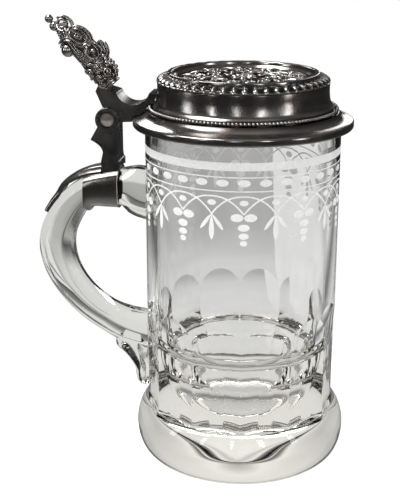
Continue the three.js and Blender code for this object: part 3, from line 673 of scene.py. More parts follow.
@dataclass
class GlassBody:
    """The thick glass cylinder with its foot, its twelve ground panels and its stepped inside.

    The dome below has the height of its edge and its rise; the stand has the radius and the height of
    its rows, from the dome outwards.
    """

    panels: int = 12
    first_edge: float = 6.5
    columns_per_panel: int = 24
    arris: float = 0.0095
    arris_depth: float = 0.07
    flat_r: float = 40.9
    wheel_r: float = 48.0
    panel_top: float = 73.0
    arch_rows: int = 22
    foot_z: float = 24.3
    fillet_top: float = 25.7
    fillet_rows: int = 8
    fillet_out: float = 0.15
    foot_wide_z: float = 13.0
    foot_low_r: float = 41.2
    waist_z: float = 24.6
    waist_fullness: float = 1.75
    above_arch: tuple = (90.0, 120.0)
    rim_z: float = 151.6
    bore_rows: tuple = (120.0, 80.0)
    step: tuple = ((BORE_R, 60.0), (29.0, 50.5))
    well: tuple = ((27.5, 49.0), (0.0, 20.0))
    dome_r: float = 34.0
    dome: tuple = (0.3, 1.2)
    stand: tuple = ((34.4, 0.2), (37.0, 0.12), (39.5, 0.0), (40.5, 0.0))

    def panel_rows(self) -> tuple[np.ndarray, np.ndarray, np.ndarray]:
        """The ground part of the wall.

        A panel is flat, then bends outwards on the wheel's circle. Its radius at an angle f from its
        middle is x / cos f, with x = flat + R (1 - cos a) at height start + R sin a. The rows bunch up
        so that one of them follows the arch where the panel meets the cylinder.

        Returns:
            The angles of the columns, the radius and the height of each point.
        """
        half = math.pi / self.panels
        inside = np.linspace(-half, half, self.columns_per_panel, endpoint=False)
        inside[1] = inside[0] + self.arris
        inside = np.append(inside, half - self.arris)
        starts = math.radians(self.first_edge) + half + np.arange(self.panels) * 2 * half
        angles = (starts[:, None] + inside).reshape(-1)
        f = np.tile(inside, self.panels)
        at_edge = np.tile(inside == inside[0], self.panels)
        run = math.sqrt(self.wheel_r ** 2 - (self.wheel_r - (BODY_R - self.flat_r)) ** 2)
        arch_start = self.panel_top - run
        end_angle = np.arccos(1 - (BODY_R * np.cos(f) - self.flat_r) / self.wheel_r)
        t = np.linspace(0, 1, self.arch_rows)[:, None]
        bend = t * end_angle
        sunk = self.arris_depth * at_edge
        arch_r = (self.flat_r + self.wheel_r * (1 - np.cos(bend))) / np.cos(f) - sunk * (1 - t)
        arch_z = arch_start + self.wheel_r * np.sin(bend)
        lift = np.linspace(0, 1, self.fillet_rows)[:, None]
        flat_r = np.broadcast_to(self.flat_r / np.cos(f) - sunk, (self.fillet_rows, len(f)))
        fillet_r = flat_r + (BODY_R + self.fillet_out - flat_r) * (1 - lift) ** 2
        fillet_z = np.broadcast_to(self.foot_z + (self.fillet_top - self.foot_z) * lift, flat_r.shape)
        above = np.array([0.03, 0.12, 0.4, 1.0])[:, None]
        above_z = arch_z[-1] + (self.above_arch[0] - arch_z[-1]) * above
        above_r = np.full_like(above_z, BODY_R)
        radius = np.concatenate([fillet_r, arch_r, above_r])
        height = np.concatenate([fillet_z, arch_z, above_z])
        return angles, radius, height

    def build(self, finishes: Finishes) -> bpy.types.Object:
        """Builds the body: foot, panels, wall, rim, bore, step and well in one closed surface."""
        angles, radius, height = self.panel_rows()
        share = np.linspace(0, 1, 12)
        low, rise = self.dome
        widest = (FOOT_R, self.foot_wide_z)
        below = np.concatenate([
            np.stack([self.dome_r * share, rise * (1 - share ** 2) + low], axis=1),
            self.stand,
            quarter(widest, (self.foot_low_r, 0), 26)[::-1],
            quarter(widest, (BODY_R, self.waist_z), 30, self.waist_fullness)[1:-1],
        ])
        top = ((BODY_R + BORE_R) / 2, GLASS_TOP)
        above = np.concatenate([
            [[BODY_R, self.above_arch[1]]],
            quarter((BODY_R, self.rim_z), top, 14),
            quarter((BORE_R, self.rim_z), top, 14)[::-1][1:],
            [[BORE_R, z] for z in self.bore_rows],
            quarter(*self.step, 16),
            quarter(self.well[0], self.step[1], 8)[::-1][1:],
            quarter(*self.well, 32)[1:],
        ])
        shape = (1, len(angles))
        radii = np.concatenate([np.tile(below[:, :1], shape), radius, np.tile(above[:, :1], shape)])
        heights = np.concatenate([np.tile(below[:, 1:], shape), height, np.tile(above[:, 1:], shape)])
        item = Surface().grid(polar(radii, angles, heights)).build("glass_body_cut", 9)
        return finish_piece(item, Body.MUG, "glass", finishes.glass, "glass_body")


@dataclass
class Frieze:
    """The frosted frieze below the rim: a band, lines, ovals, festoons, berries and leaves.

    An oval has its distance from the middle of its repeat, its height, its width and how tall it is;
    a leaf has how far its tip lies aside and below, half its width and where it is widest.
    """

    repeats: int = 10
    berry_angle: float = 276.9
    outer_r: float = 42.56
    inner_r: float = 42.52
    line_half: float = 0.34
    ring_points: int = 144
    ring_heights: tuple = ((141.1, 144.5), (138.15, 138.65), (132.35, 132.85))
    row_count: int = 30
    row_oval: tuple = (136.0, 5.3, 2.95)
    berries: tuple = ((-2.8, 121.6, 5.3, 3.4), (2.8, 121.6, 5.3, 3.4), (0, 117.4, 4.9, 3.05),
                      (0, 113.8, 4.2, 2.7), (0, 110.8, 3.0, 2.4), (0, 127.8, 3.7, 2.4))
    between: tuple = (127.8, 3.7, 2.4)
    leaves: tuple = ((0.001, 11.2, 1.15, 0.55), (5.0, 6.8, 0.8, 0.5), (-5.0, 6.8, 0.8, 0.5))
    leaf_points: int = 14
    festoon_low: float = 123.0
    festoon_rise: float = 7.5
    festoon_power: float = 2.35

    def on_glass(self, across: np.ndarray, height: np.ndarray, radius: float) -> np.ndarray:
        """Points at a distance round the wall, in millimetres from the first berry, and a height."""
        return polar(radius, math.radians(self.berry_angle) + across / BODY_R, height)

    def shells(self, across: np.ndarray, height: np.ndarray) -> np.ndarray:
        """Closed flat shapes from their outlines.

        Args:
            across: an array of shapes and outline points, round the wall.
            height: the same for the heights.

        Returns:
            An array of shapes, rows, outline points and x, y, z: middle, edge, edge and middle again.
        """
        mean = [np.broadcast_to(v.mean(axis=1, keepdims=True), v.shape) for v in (across, height)]
        outline = (across, height)
        rows = ((mean, self.outer_r), (outline, self.outer_r), (outline, self.inner_r), (mean, self.inner_r))
        return np.stack([self.on_glass(*line, radius) for line, radius in rows], axis=1)

    def ribbon(self, across: np.ndarray, height: np.ndarray, half: np.ndarray) -> np.ndarray:
        """Closed ribbons along curves: the curve moved sideways by half a width each way."""
        dx, dz = np.gradient(across, axis=1), np.gradient(height, axis=1)
        length = np.hypot(dx, dz)
        nx, nz = -dz / length * half, dx / length * half
        above, below = (across + nx, height + nz), (across - nx, height - nz)
        edges = ((above, self.outer_r), (below, self.outer_r), (below, self.inner_r), (above, self.inner_r))
        return np.stack([self.on_glass(*line, radius) for line, radius in edges], axis=2)

    def places(self, shift: float) -> np.ndarray:
        """The repeats' distances round the wall, moved by a share of one repeat."""
        return (np.arange(self.repeats) + shift) * TURN * BODY_R / self.repeats

    def ovals(self, centres: np.ndarray, height: float, width: float, tall: float) -> np.ndarray:
        """Ovals at one height: x and z are half a side times cosine and sine."""
        angle = circle(20)
        across = centres[:, None] + width / 2 * np.cos(angle)
        up = height + tall / 2 * np.sin(angle)
        return self.shells(across, np.broadcast_to(up, across.shape))

    def leaf(self, tip_across: float, tip_drop: float, half: float, widest: float) -> np.ndarray:
        """Leaves from one stalk point: the width swells as u^a (1-u)^b along the leaf."""
        count = self.leaf_points
        u = np.concatenate([np.linspace(0, 1, count), np.linspace(1, 0, count)[1:-1]])
        side = np.concatenate([np.ones(count), -np.ones(count - 2)])
        power = widest / (1 - widest)
        swell = u ** power * (1 - u) ** 0.75
        swell = swell / swell.max() * half * side
        length = math.hypot(tip_across, tip_drop)
        ax, az = tip_across / length, -tip_drop / length
        across = self.places(0.5)[:, None] + (u * tip_across - az * swell)
        height = self.festoon_low - u * tip_drop + ax * swell
        return self.shells(across, np.broadcast_to(height, across.shape))

    def festoons(self, shift: float) -> np.ndarray:
        """A chain of arcs, each one repeat long: low at its ends, and risen in its middle."""
        u = np.linspace(-1, 1, 33)
        step = TURN * BODY_R / self.repeats / 2
        across = self.places(shift + 0.5)[:, None] + u * step
        top = self.festoon_low + self.festoon_rise
        height = np.broadcast_to(top - self.festoon_rise * np.abs(u) ** self.festoon_power, across.shape)
        return self.ribbon(across, height, np.full(across.shape, self.line_half))

    def bands(self) -> list[np.ndarray]:
        """The wide band and the two thin lines, as closed rings all round the wall."""
        along = circle(self.ring_points) * BODY_R
        rings = []
        for low, high in self.ring_heights:
            edges = ((low, self.outer_r), (high, self.outer_r), (high, self.inner_r), (low, self.inner_r))
            rings.append(np.stack([self.on_glass(along, z, r) for z, r in edges]))
        return rings

    def build(self, finishes: Finishes) -> list[bpy.types.Object]:
        """Builds the bands and the motifs as two frosted pieces."""
        bands = Surface()
        for ring in self.bands():
            bands.grid(ring, True, True)
        motifs = Surface()
        row = np.arange(self.row_count) * (TURN * BODY_R / self.row_count)
        motifs.copies(self.ovals(row, *self.row_oval))
        for offset, height, width, tall in self.berries:
            motifs.copies(self.ovals(self.places(0) + offset, height, width, tall))
        motifs.copies(self.ovals(self.places(0.5), *self.between))
        for leaf in self.leaves:
            motifs.copies(self.leaf(*leaf))
        for shift in (0.0, 0.5):
            motifs.copies(closed(self.festoons(shift)))
        items = [bands.build("frieze_bands"), motifs.build("frieze_motifs")]
        return [finish_piece(item, Body.MUG, "glass", finishes.frost) for item in items]


@dataclass
class HandleLine:
    """The middle line of the handle, with its half thickness."""

    reach: float = 42.15
    count: int = 721

    def __post_init__(self) -> None:
        """Works the line out once."""
        stations = np.array([
            (-0.12, 0.965, 12.3), (0.035, 0.976, 11.3), (0.153, 0.999, 10), (0.271, 1.01, 7.8),
            (0.413, 1.004, 7), (0.559, 0.993, 6.2), (0.645, 0.975, 5.8), (0.701, 0.948, 6.2),
            (0.821, 0.868, 6.9), (0.913, 0.776, 7.2), (0.976, 0.684, 7.5), (1, 0.585, 7.7),
            (0.974, 0.465, 7.4), (0.895, 0.345, 7), (0.776, 0.237, 6.7), (0.622, 0.142, 6.6),
            (0.445, 0.067, 6.7), (0.248, 0.012, 7.6), (0.035, -0.02, 8.3), (-0.12, -0.03, 8.3)])
        rise = HANDLE_TOP_Z - HANDLE_LOW_Z
        places = np.stack([-(BODY_R + self.reach * stations[:, 0]), stations[:, 2],
                           HANDLE_LOW_Z + rise * stations[:, 1]], axis=1)
        points, rates = through(places, self.count)
        self.half = points[:, 1].copy()
        self.middle = points * np.array([1, 0, 1])
        ahead = rates * np.array([1, 0, 1])
        self.ahead = ahead / np.linalg.norm(ahead, axis=1, keepdims=True)
        self.outwards = np.stack([self.ahead[:, 2], 0 * self.half, -self.ahead[:, 0]], axis=1)

    def where(self, x: float) -> int:
        """The first place on the line that is further out than an x."""
        return int(np.argmax(self.middle[:, 0] < x))

    def carry(self, picks: np.ndarray, sections: np.ndarray) -> np.ndarray:
        """Sections of across and outwards put on the line at the picked places."""
        across, out = sections[..., 0], sections[..., 1]
        points = self.middle[picks][:, None] + self.outwards[picks][:, None] * out[..., None]
        points[..., 1] = across
        return points

    def square(self, ring: np.ndarray, pick: int, x: float) -> np.ndarray:
        """A ring moved along the line until all its points are at one x."""
        ahead = self.ahead[pick]
        return ring + ahead * ((x - ring[:, :1]) / ahead[0])


def octagon(half_width: np.ndarray, half_height: np.ndarray, margin: float, steps: int = 96) -> np.ndarray:
    """Eight-sided sections with half of each side left flat, as rays from the middle.

    The ray's length is the least of w/|cos|, h/|sin| and d/(n.|cos|,|sin|), for the flat sides
    and the corner facets.
    """
    angle = (np.arange(steps) + 0.5) * TURN / steps
    c, s = np.abs(np.cos(angle)), np.abs(np.sin(angle))
    w, h = half_width[:, None], half_height[:, None]
    length = np.hypot(w, h)
    nx, ny = h / length, w / length
    distance = nx * w + ny * h * 0.5 + margin
    rays = np.minimum(np.minimum((w + margin) / c, (h + margin) / s), distance / (nx * c + ny * s))
    return np.stack([rays * np.cos(angle), rays * np.sin(angle)], axis=-1)


def faceted(half_width: np.ndarray, half_height: np.ndarray, edge: float) -> np.ndarray:
    """Eight-sided sections with their corners rounded by a distance, one row of 32 points each."""
    rows = []
    for w, h in zip(half_width, half_height):
        length = math.hypot(w, h)
        nx, ny = h / length, w / length
        distance = nx * w + ny * h * 0.5
        side, top = (distance - nx * w) / ny, (distance - ny * h) / nx
        corners = [(w, -side), (w, side), (top, h), (-top, h),
                   (-w, side), (-w, -side), (-top, -h), (top, -h)]
        rows.append(rounded([(x, y, edge) for x, y in corners], 4))
    return np.stack(rows)


@dataclass
class GlassHandle:
    """The solid glass handle, with cut facets and a flattened tail."""

    line: HandleLine
    edge: float = 0.8
    tail_edge: float = 0.7
    tail_tip: float = 26.5
    off_wall: float = 0.12
    wall_top: float = 150.0

    def tail(self) -> np.ndarray:
        """The tail as rings from the lower arm down to its tip."""
        stations = np.array([
            (8, 0, 6.5, 7.6), (7.9, 0.3, 7.1, 7.6), (6.3, 0.4, 5.8, 7.4), (4.9, 0.51, 4.3, 7),
            (3.4, 0.67, 3.2, 6.4), (3.1, 0.8, 3.2, 5.8), (2.7, 0.92, 2.5, 4.8), (1.7, 1, 1.1, 2.1)])
        scaled = stations * np.array([1, HANDLE_LOW_Z - self.tail_tip, 1, 1])
        line = through(scaled, 60)[0]
        sections = faceted(line[:, 3], line[:, 2], self.tail_edge)
        x = -(BODY_R + line[:, :1] + sections[..., 1])
        z = np.broadcast_to(HANDLE_LOW_Z - line[:, 1:2], x.shape)
        return np.stack([x, sections[..., 0], z], axis=-1)

    def build(self, finishes: Finishes) -> bpy.types.Object:
        """Builds the bar and the tail, joins them and cuts them to the body's wall."""
        picks = np.arange(0, self.line.count, 6)
        wide = np.full(len(picks), HANDLE_HALF_WIDTH)
        bar_rings = self.line.carry(picks, faceted(wide, self.line.half[picks], self.edge))
        item = Surface().grid(capped(bar_rings)).build("glass_handle_cut", 60)
        combine(item, Surface().grid(capped(self.tail())), Join.ADD)
        radius, top = BODY_R + self.off_wall, self.wall_top
        wall = turned(np.array([(0, 0), (radius, 0), (radius, top), (0, top)]), 288)
        combine(item, Surface().grid(wall), Join.TAKE)
        smooth(item, 30)
        return finish_piece(item, Body.MUG, "glass", finishes.drawn_glass, "glass_handle")


@dataclass
class Collar:
    """The pewter band round the handle's upper arm."""

    line: HandleLine
    wall: float = 1.3
    start_x: float = -54.5
    end_x: float = -70.0
    past: float = 3.0
    sections: int = 26
    section_points: int = 96
    fullness: float = 3.2
    bore_sections: int = 16
    cut: float = 20.0
    cut_heights: tuple = (90.0, 150.0)
    edge: float = 0.3

    def picks(self, past: float, count: int) -> np.ndarray:
        """Places on the handle's line, from before the collar to after it by a distance."""
        first, last = self.line.where(self.start_x + past), self.line.where(self.end_x - past)
        return np.linspace(first, last, count).astype(int)

    def outside(self, margin: float, past: float) -> np.ndarray:
        """Rings of the collar's outside, grown by a margin and longer at both ends."""
        picks = self.picks(past, self.sections)
        grow = SEAT + self.wall + margin
        wide = np.full(self.sections, HANDLE_HALF_WIDTH + grow)
        high = self.line.half[picks] + grow
        return self.line.carry(picks, superellipse(wide, high, self.section_points, self.fullness))

    def build(self, finishes: Finishes) -> bpy.types.Object:
        """Builds the band longer than it is, bores it, and cuts it square at both ends."""
        item = Surface().grid(capped(self.outside(0, self.past))).build("handle_collar_band")
        picks = self.picks(2 * self.past, self.bore_sections)
        wide = np.full(self.bore_sections, HANDLE_HALF_WIDTH)
        bore = self.line.carry(picks, octagon(wide, self.line.half[picks], SEAT))
        combine(item, Surface().grid(capped(bore)), Join.TAKE)
        low, high = self.cut_heights
        for near, far in ((self.start_x, self.start_x + self.cut), (self.end_x - self.cut, self.end_x)):
            corners = np.array([(near, low), (far, low), (far, high), (near, high)])
            combine(item, plate(corners, self.cut), Join.TAKE)
        smooth(item, 40)
        soften(item, self.edge)
        return finish_piece(item, Body.MUG, "pewter", finishes.pewter, "handle_collar")


@dataclass
class Strap:
    """The pewter tail that runs from the post over the collar and down the back of the handle."""

    line: HandleLine
    collar: Collar
    thickness: float = 1.7
    half_width: float = 7.0
    tip_half_width: float = 4.6
    tip_z: float = 106.67
    start_x: float = -62.2
    sections: int = 48
    section_points: int = 25
    lifted: float = 1.9
    settle_run: float = 32
    shoulder: float = 4.1
    fall: tuple = (0.45, 0.4)
    crown: float = 0.28

    def build(self, finishes: Finishes) -> bpy.types.Object:
        """Builds the strap: a curved section that tapers along the handle."""
        line = self.line
        first = line.where(self.start_x)
        beyond = (line.middle[:, 0] < HINGE_X) & (line.middle[:, 2] < self.tip_z)
        last = int(np.argmax(beyond))
        picks = np.linspace(first, last, self.sections).astype(int)
        share = np.linspace(0, 1, self.sections)
        width = self.half_width + (self.tip_half_width - self.half_width) * share
        off_collar = line.where(self.collar.end_x - self.collar.past)
        settle = np.clip((picks - off_collar) / self.settle_run, 0, 1)
        settle = settle ** 2 * (3 - 2 * settle)
        under = line.half[picks] + self.lifted + (SEAT - self.lifted) * settle
        places = np.linspace(-1, 1, self.section_points)
        across = width[:, None] * places
        slope = self.fall[0] + self.fall[1] * settle[:, None]
        fall = slope * np.maximum(0, np.abs(across) - self.shoulder)
        crown = 1 - self.crown * np.abs(places) ** 6
        outer = np.stack([across, under[:, None] + self.thickness * crown - fall], axis=-1)
        inner = np.stack([across, under[:, None] - fall], axis=-1)[:, ::-1]
        rings = line.carry(picks, np.concatenate([outer, inner], axis=1))
        rings[0] = line.square(rings[0], first, self.start_x)
        item = Surface().grid(capped(rings)).build("back_strap_bent")
        return finish_piece(item, Body.MUG, "pewter", finishes.pewter, "back_strap")


def hinge_rings(fixed: bool) -> list[tuple[float, float]]:
    """Where the fixed or the moving hinge rings start and end along Y."""
    starts = [-HINGE_HALF + i * (RING_LENGTH + RUN) for i in range(RING_COUNT)]
    return [(start, start + RING_LENGTH) for i, start in enumerate(starts) if (i % 2 == 0) == fixed]


def with_rings(item: bpy.types.Object, fixed: bool) -> None:
    """Clears the way for the other piece's rings, and adds the piece's own with the pin's hole."""
    for start, end in hinge_rings(not fixed):
        combine(item, Surface().grid(bar(RING_R + RUN, start - RUN, end + RUN)), Join.TAKE)
    for start, end in hinge_rings(fixed):
        combine(item, Surface().grid(bar(RING_R, start, end, 64, RING_EDGE)), Join.ADD)
    combine(item, Surface().grid(bar(PIN_R + RUN, -PIN_HOLE_HALF, PIN_HOLE_HALF, 32)), Join.TAKE)


@dataclass
class HingePost:
    """The upright on the collar, with the fixed rings and the spur that stops the lid."""

    collar: Collar
    back: float = -61.0
    front: float = -54.5
    flare: float = 0.9
    foot_z: float = 134.8
    spur_z: float = 144.8
    waist_z: float = 138.6
    spur_reach: float = 7.6
    spur_turn: float = 216.0
    plug_seat: float = 1.75
    past_saddle: float = 4.0
    root_over: float = 6.0

    def outline(self) -> np.ndarray:
        """The side view: two curves of the second degree below, the ring and the spur above."""
        t = np.linspace(0, 1, 14)[:, None]

        def bend(a: tuple, b: tuple, c: tuple) -> np.ndarray:
            """A curve from a to c that leaves towards b."""
            a, b, c = (np.array(p, float) for p in (a, b, c))
            return (1 - t) ** 2 * a + 2 * t * (1 - t) * b + t ** 2 * c

        start = math.radians(self.spur_turn)
        ring = np.array([HINGE_X + RING_R * math.cos(start), HINGE_Z + RING_R * math.sin(start)])
        tip = np.array([HINGE_X - self.spur_reach, self.spur_z])
        low = HANDLE_TOP_Z + self.root_over
        front, back = self.front + self.flare, self.back - self.flare
        return np.concatenate([
            [[front, low]],
            bend((front, self.foot_z), (self.front, self.foot_z), (self.front, self.waist_z)),
            [[self.front, HINGE_Z]],
            [ring],
            bend(tip + (0.5, 0.4), tip, tip + (0.25, -0.6)),
            bend(tip + (0.6, -0.8), (self.back, (self.spur_z + self.waist_z) / 2),
                 (self.back, self.waist_z)),
            [[back, self.foot_z], [back, low]],
        ])

    def build(self, finishes: Finishes) -> bpy.types.Object:
        """Builds the post: the side view as a plate, its rings, and the seat of the near plug."""
        item = plate(self.outline(), HINGE_HALF).build("hinge_post_cast")
        saddle = capped(self.collar.outside(SEAT, self.past_saddle))
        combine(item, Surface().grid(saddle), Join.TAKE)
        with_rings(item, True)
        for side in (-1, 1):
            ends = sorted((side * (HINGE_HALF + 1), side * (HINGE_HALF - self.plug_seat)))
            combine(item, Surface().grid(bar(PLUG_R + SEAT, *ends)), Join.TAKE)
        smooth(item, CAST_SHARP)
        soften(item, 0.35)
        return finish_piece(item, Body.MUG, "dark_pewter", finishes.dark, "hinge_post")


@dataclass
class PinPlug:
    """A soft metal plug, dished in its middle."""

    side: int
    name: str
    node: str
    sunk: float = 0.25
    depth: float = 1.45
    dish: float = 0.35
    edge: tuple = (0.2, 0.25)

    def build(self, finishes: Finishes) -> bpy.types.Object:
        """Builds the plug: with r as a share of the radius, its face sinks by dish (1 - r^2)^2."""
        outer, inner = self.side * (HINGE_HALF - self.sunk), self.side * (HINGE_HALF - self.depth)
        across, down = self.edge
        r = np.linspace(0, 1, 12)
        dish = outer - self.side * self.dish * (1 - r ** 2) ** 2
        face = np.stack([r * (PLUG_R - across), dish], axis=1)
        profile = np.concatenate([face, [[PLUG_R, outer - self.side * down], [PLUG_R, inner], [0, inner]]])
        item = Surface().grid(on_hinge(turned(profile, 64))).build(self.name)
        return finish_piece(item, Body.MUG, "pin_plug", finishes.plug, self.node)


@dataclass
class LidCover:
    """The lid's flange and drum in one shell, open below."""

    wall: float = 1.8
    steps: int = 256
    corner_shade_reach: float = 4.4
    corner_shade_run: float = 2.6
    corner_shade: float = 0.9

    def outside(self) -> list[tuple[float, float, float]]:
        """The outside from the lip to the drum's top: radius, height and rounding."""
        space = 2 * BEAD_R + SEAT
        foot = LEDGE_Z + space
        return [
            (46.5, 151.5, 0.4), (47.75, 152.1, 0.6), (47.75, 154.7, 0.7), (46.4, 155.3, 1.0),
            (44.2, 156.0, 3), (42.4, 157.1, 2),
            (DRUM_FOOT_R + 1.9, LEDGE_Z, 0.25), (DRUM_FOOT_R, LEDGE_Z, 0),
            (DRUM_FOOT_R, foot, 0.15), (DRUM_R + 1.0, foot + 1.2, 0.9), (DRUM_R + 0.33, foot + 3.2, 1),
            (DRUM_R, foot + 6, 1.5), (DRUM_R, DRUM_TOP_Z, 0.2),
        ]

    def build(self, finishes: Finishes) -> bpy.types.Object:
        """Builds the shell as one turned profile, with painted shade in the corner behind the beads."""
        inner = DRUM_R - self.wall
        corners = self.outside() + [
            (26.0, DRUM_TOP_Z, 0), (26.0, 168.6, 0), (inner, 168.6, 1), (inner, 162.1, 1), (37.0, 156.6, 1),
            (37.0, 153.3, 0), (43.3, 153.3, 0), (43.3, 151.5, 0.2)]
        profile = rounded(corners, 6)
        # Painted shade: the flange darkens near its corner with the drum, so that the beads stand out
        # against it.
        away = np.hypot(profile[:, 0] - DRUM_FOOT_R, profile[:, 1] - LEDGE_Z)
        near = np.clip((self.corner_shade_reach - away) / self.corner_shade_run, 0, self.corner_shade)
        corner_shade = np.where(profile[:, 0] > DRUM_FOOT_R - SEAT, near, 0)
        painted_shade = np.repeat(corner_shade[:, None], self.steps, axis=1)
        item = Surface().grid(turned(profile, self.steps), True, True, painted_shade).build("lid_cover_spun", 35)
        return finish_piece(item, Body.LID, "pewter", finishes.pewter, "lid_cover")


@dataclass
class BeadRing:
    """The ring of small beads in the corner between flange and drum."""

    beads: int = 152
    wire_r: float = 0.45
    wire_steps: int = 304
    flatness: float = 0.98

    def build(self, finishes: Finishes) -> bpy.types.Object:
        """Builds a wire with beads on it: each bead is a ball of eight sides and four rings."""
        middle_r, middle_z = DRUM_FOOT_R + SEAT + BEAD_R, LEDGE_Z + SEAT + BEAD_R
        angle = circle(8)
        wire = np.stack([middle_r + self.wire_r * np.cos(angle),
                         middle_z - 0.1 + self.wire_r * np.sin(angle)], axis=1)
        # Painted shade: the wire between the beads is darkened all over.
        dark = np.ones((8, self.wire_steps))
        surface = Surface().grid(turned(wire, self.wire_steps), True, True, dark)
        place = circle(self.beads)[:, None, None]
        tilt = np.linspace(-math.pi / 2, math.pi / 2, 6)[None, :, None]
        spin = circle(8)[None, None, :]
        out = BEAD_R * self.flatness * np.cos(tilt) * np.cos(spin)
        side = BEAD_R * np.cos(tilt) * np.sin(spin)
        up = BEAD_R * self.flatness * np.sin(tilt) + 0 * spin
        r = middle_r + out
        x, y = r * np.cos(place) - side * np.sin(place), r * np.sin(place) + side * np.cos(place)
        surface.copies(np.stack([x, y, np.broadcast_to(middle_z + up, x.shape)], axis=-1))
        item = surface.build("bead_ring_fine", 80)
        return finish_piece(item, Body.LID, "pewter", finishes.bright, "bead_ring")


@dataclass
class Gadroons:
    """The cast border on the drum's shoulder: sunken flutes between thin ridges, darkened in the flutes by
    painted shade.
    """

    lobes: int = 52
    depth: float = 0.62
    columns: int = 16
    rows: int = 26
    bottom_half: float = 0.08
    side_run: float = 0.8
    flute_power: float = 3.2
    height: float = 2.8
    start: tuple = (0.02, 0.07)
    flute_shade: float = 0.93

    def build(self, finishes: Finishes) -> bpy.types.Object:
        """Builds the border.

        A flute has a flat bottom, and from there the surface rises to the ridge with a power of the
        distance. Along it the sinking is full a little above the foot and runs on to the rim.
        """
        inner, outer, top = LID_RIM_R + SEAT, DRUM_R + 0.25, SHOULDER_Z + self.height
        steps = self.lobes * self.columns
        angle = circle(steps)
        u = np.abs((np.arange(steps) % self.columns) / (self.columns / 2) - 1)
        flute = 1 - np.clip((u - self.bottom_half) / self.side_run, 0, 1) ** self.flute_power
        arc = quarter((outer, SHOULDER_Z + 0.55), (inner, top), self.rows, 2.1)
        first, run = self.start
        sink = self.depth * np.clip((np.linspace(0, 1, self.rows) - first) / run, 0, 1) ** 0.7
        tangent = np.gradient(arc, axis=0)
        tangent /= np.linalg.norm(tangent, axis=1, keepdims=True)
        normal = np.stack([tangent[:, 1], -tangent[:, 0]], axis=1)
        drop = sink[:, None] * flute
        r = np.maximum(arc[:, :1] - normal[:, :1] * drop, inner)
        z = arc[:, 1:] - normal[:, 1:] * drop
        # Painted shade: the deeper a flute sinks, the darker it is painted.
        painted_shade = np.clip(drop / self.depth, 0, 1) ** 1.3 * self.flute_shade
        foot = np.array([[inner, SHOULDER_Z], [outer - 0.15, SHOULDER_Z], [outer, SHOULDER_Z + 0.15]])
        r = np.concatenate([np.tile(foot[:, :1], (1, steps)), r])
        z = np.concatenate([np.tile(foot[:, 1:], (1, steps)), z])
        painted_shade = np.concatenate([np.zeros((3, steps)), painted_shade])
        item = Surface().grid(polar(r, angle, z), True, True, painted_shade).build("gadroon_border_cast", 50)
        return finish_piece(item, Body.LID, "pewter", finishes.bright, "gadroon_border")


@dataclass
class LidRim:
    """The raised roll that holds the inlaid disc."""

    waves: int = 34
    wave_height: float = 0.09
    steps: int = 288

    def build(self, finishes: Finishes) -> bpy.types.Object:
        """Builds the rim: a rounded profile whose roll is hammered slightly up and down."""
        top, flat = SHOULDER_Z + 4.3, SHOULDER_Z + 1.3
        inner = LID_RIM_R - 2
        profile = rounded([
            (LID_RIM_R, SHOULDER_Z, 0), (LID_RIM_R, top - 0.1, 1.0), (LID_RIM_R - 1, top, 0.9),
            (inner, top - 0.1, 0.9), (inner - 0.3, top - 1.6, 0.6), (inner - 1.4, flat, 0.2),
            (inner - 1.4, SHOULDER_Z, 0)], 7)
        points = turned(profile, self.steps)
        angle = circle(self.steps)
        lift = np.clip((points[..., 2] - flat) / 3, 0, 1)
        wave = self.wave_height * np.sin(self.waves * angle) * np.sin(3 * angle + 1)
        points[..., 2] -= lift * (self.wave_height + wave)
        item = Surface().grid(points, True, True).build("lid_rim_rolled", 45)
        return finish_piece(item, Body.LID, "pewter", finishes.pewter, "lid_rim")


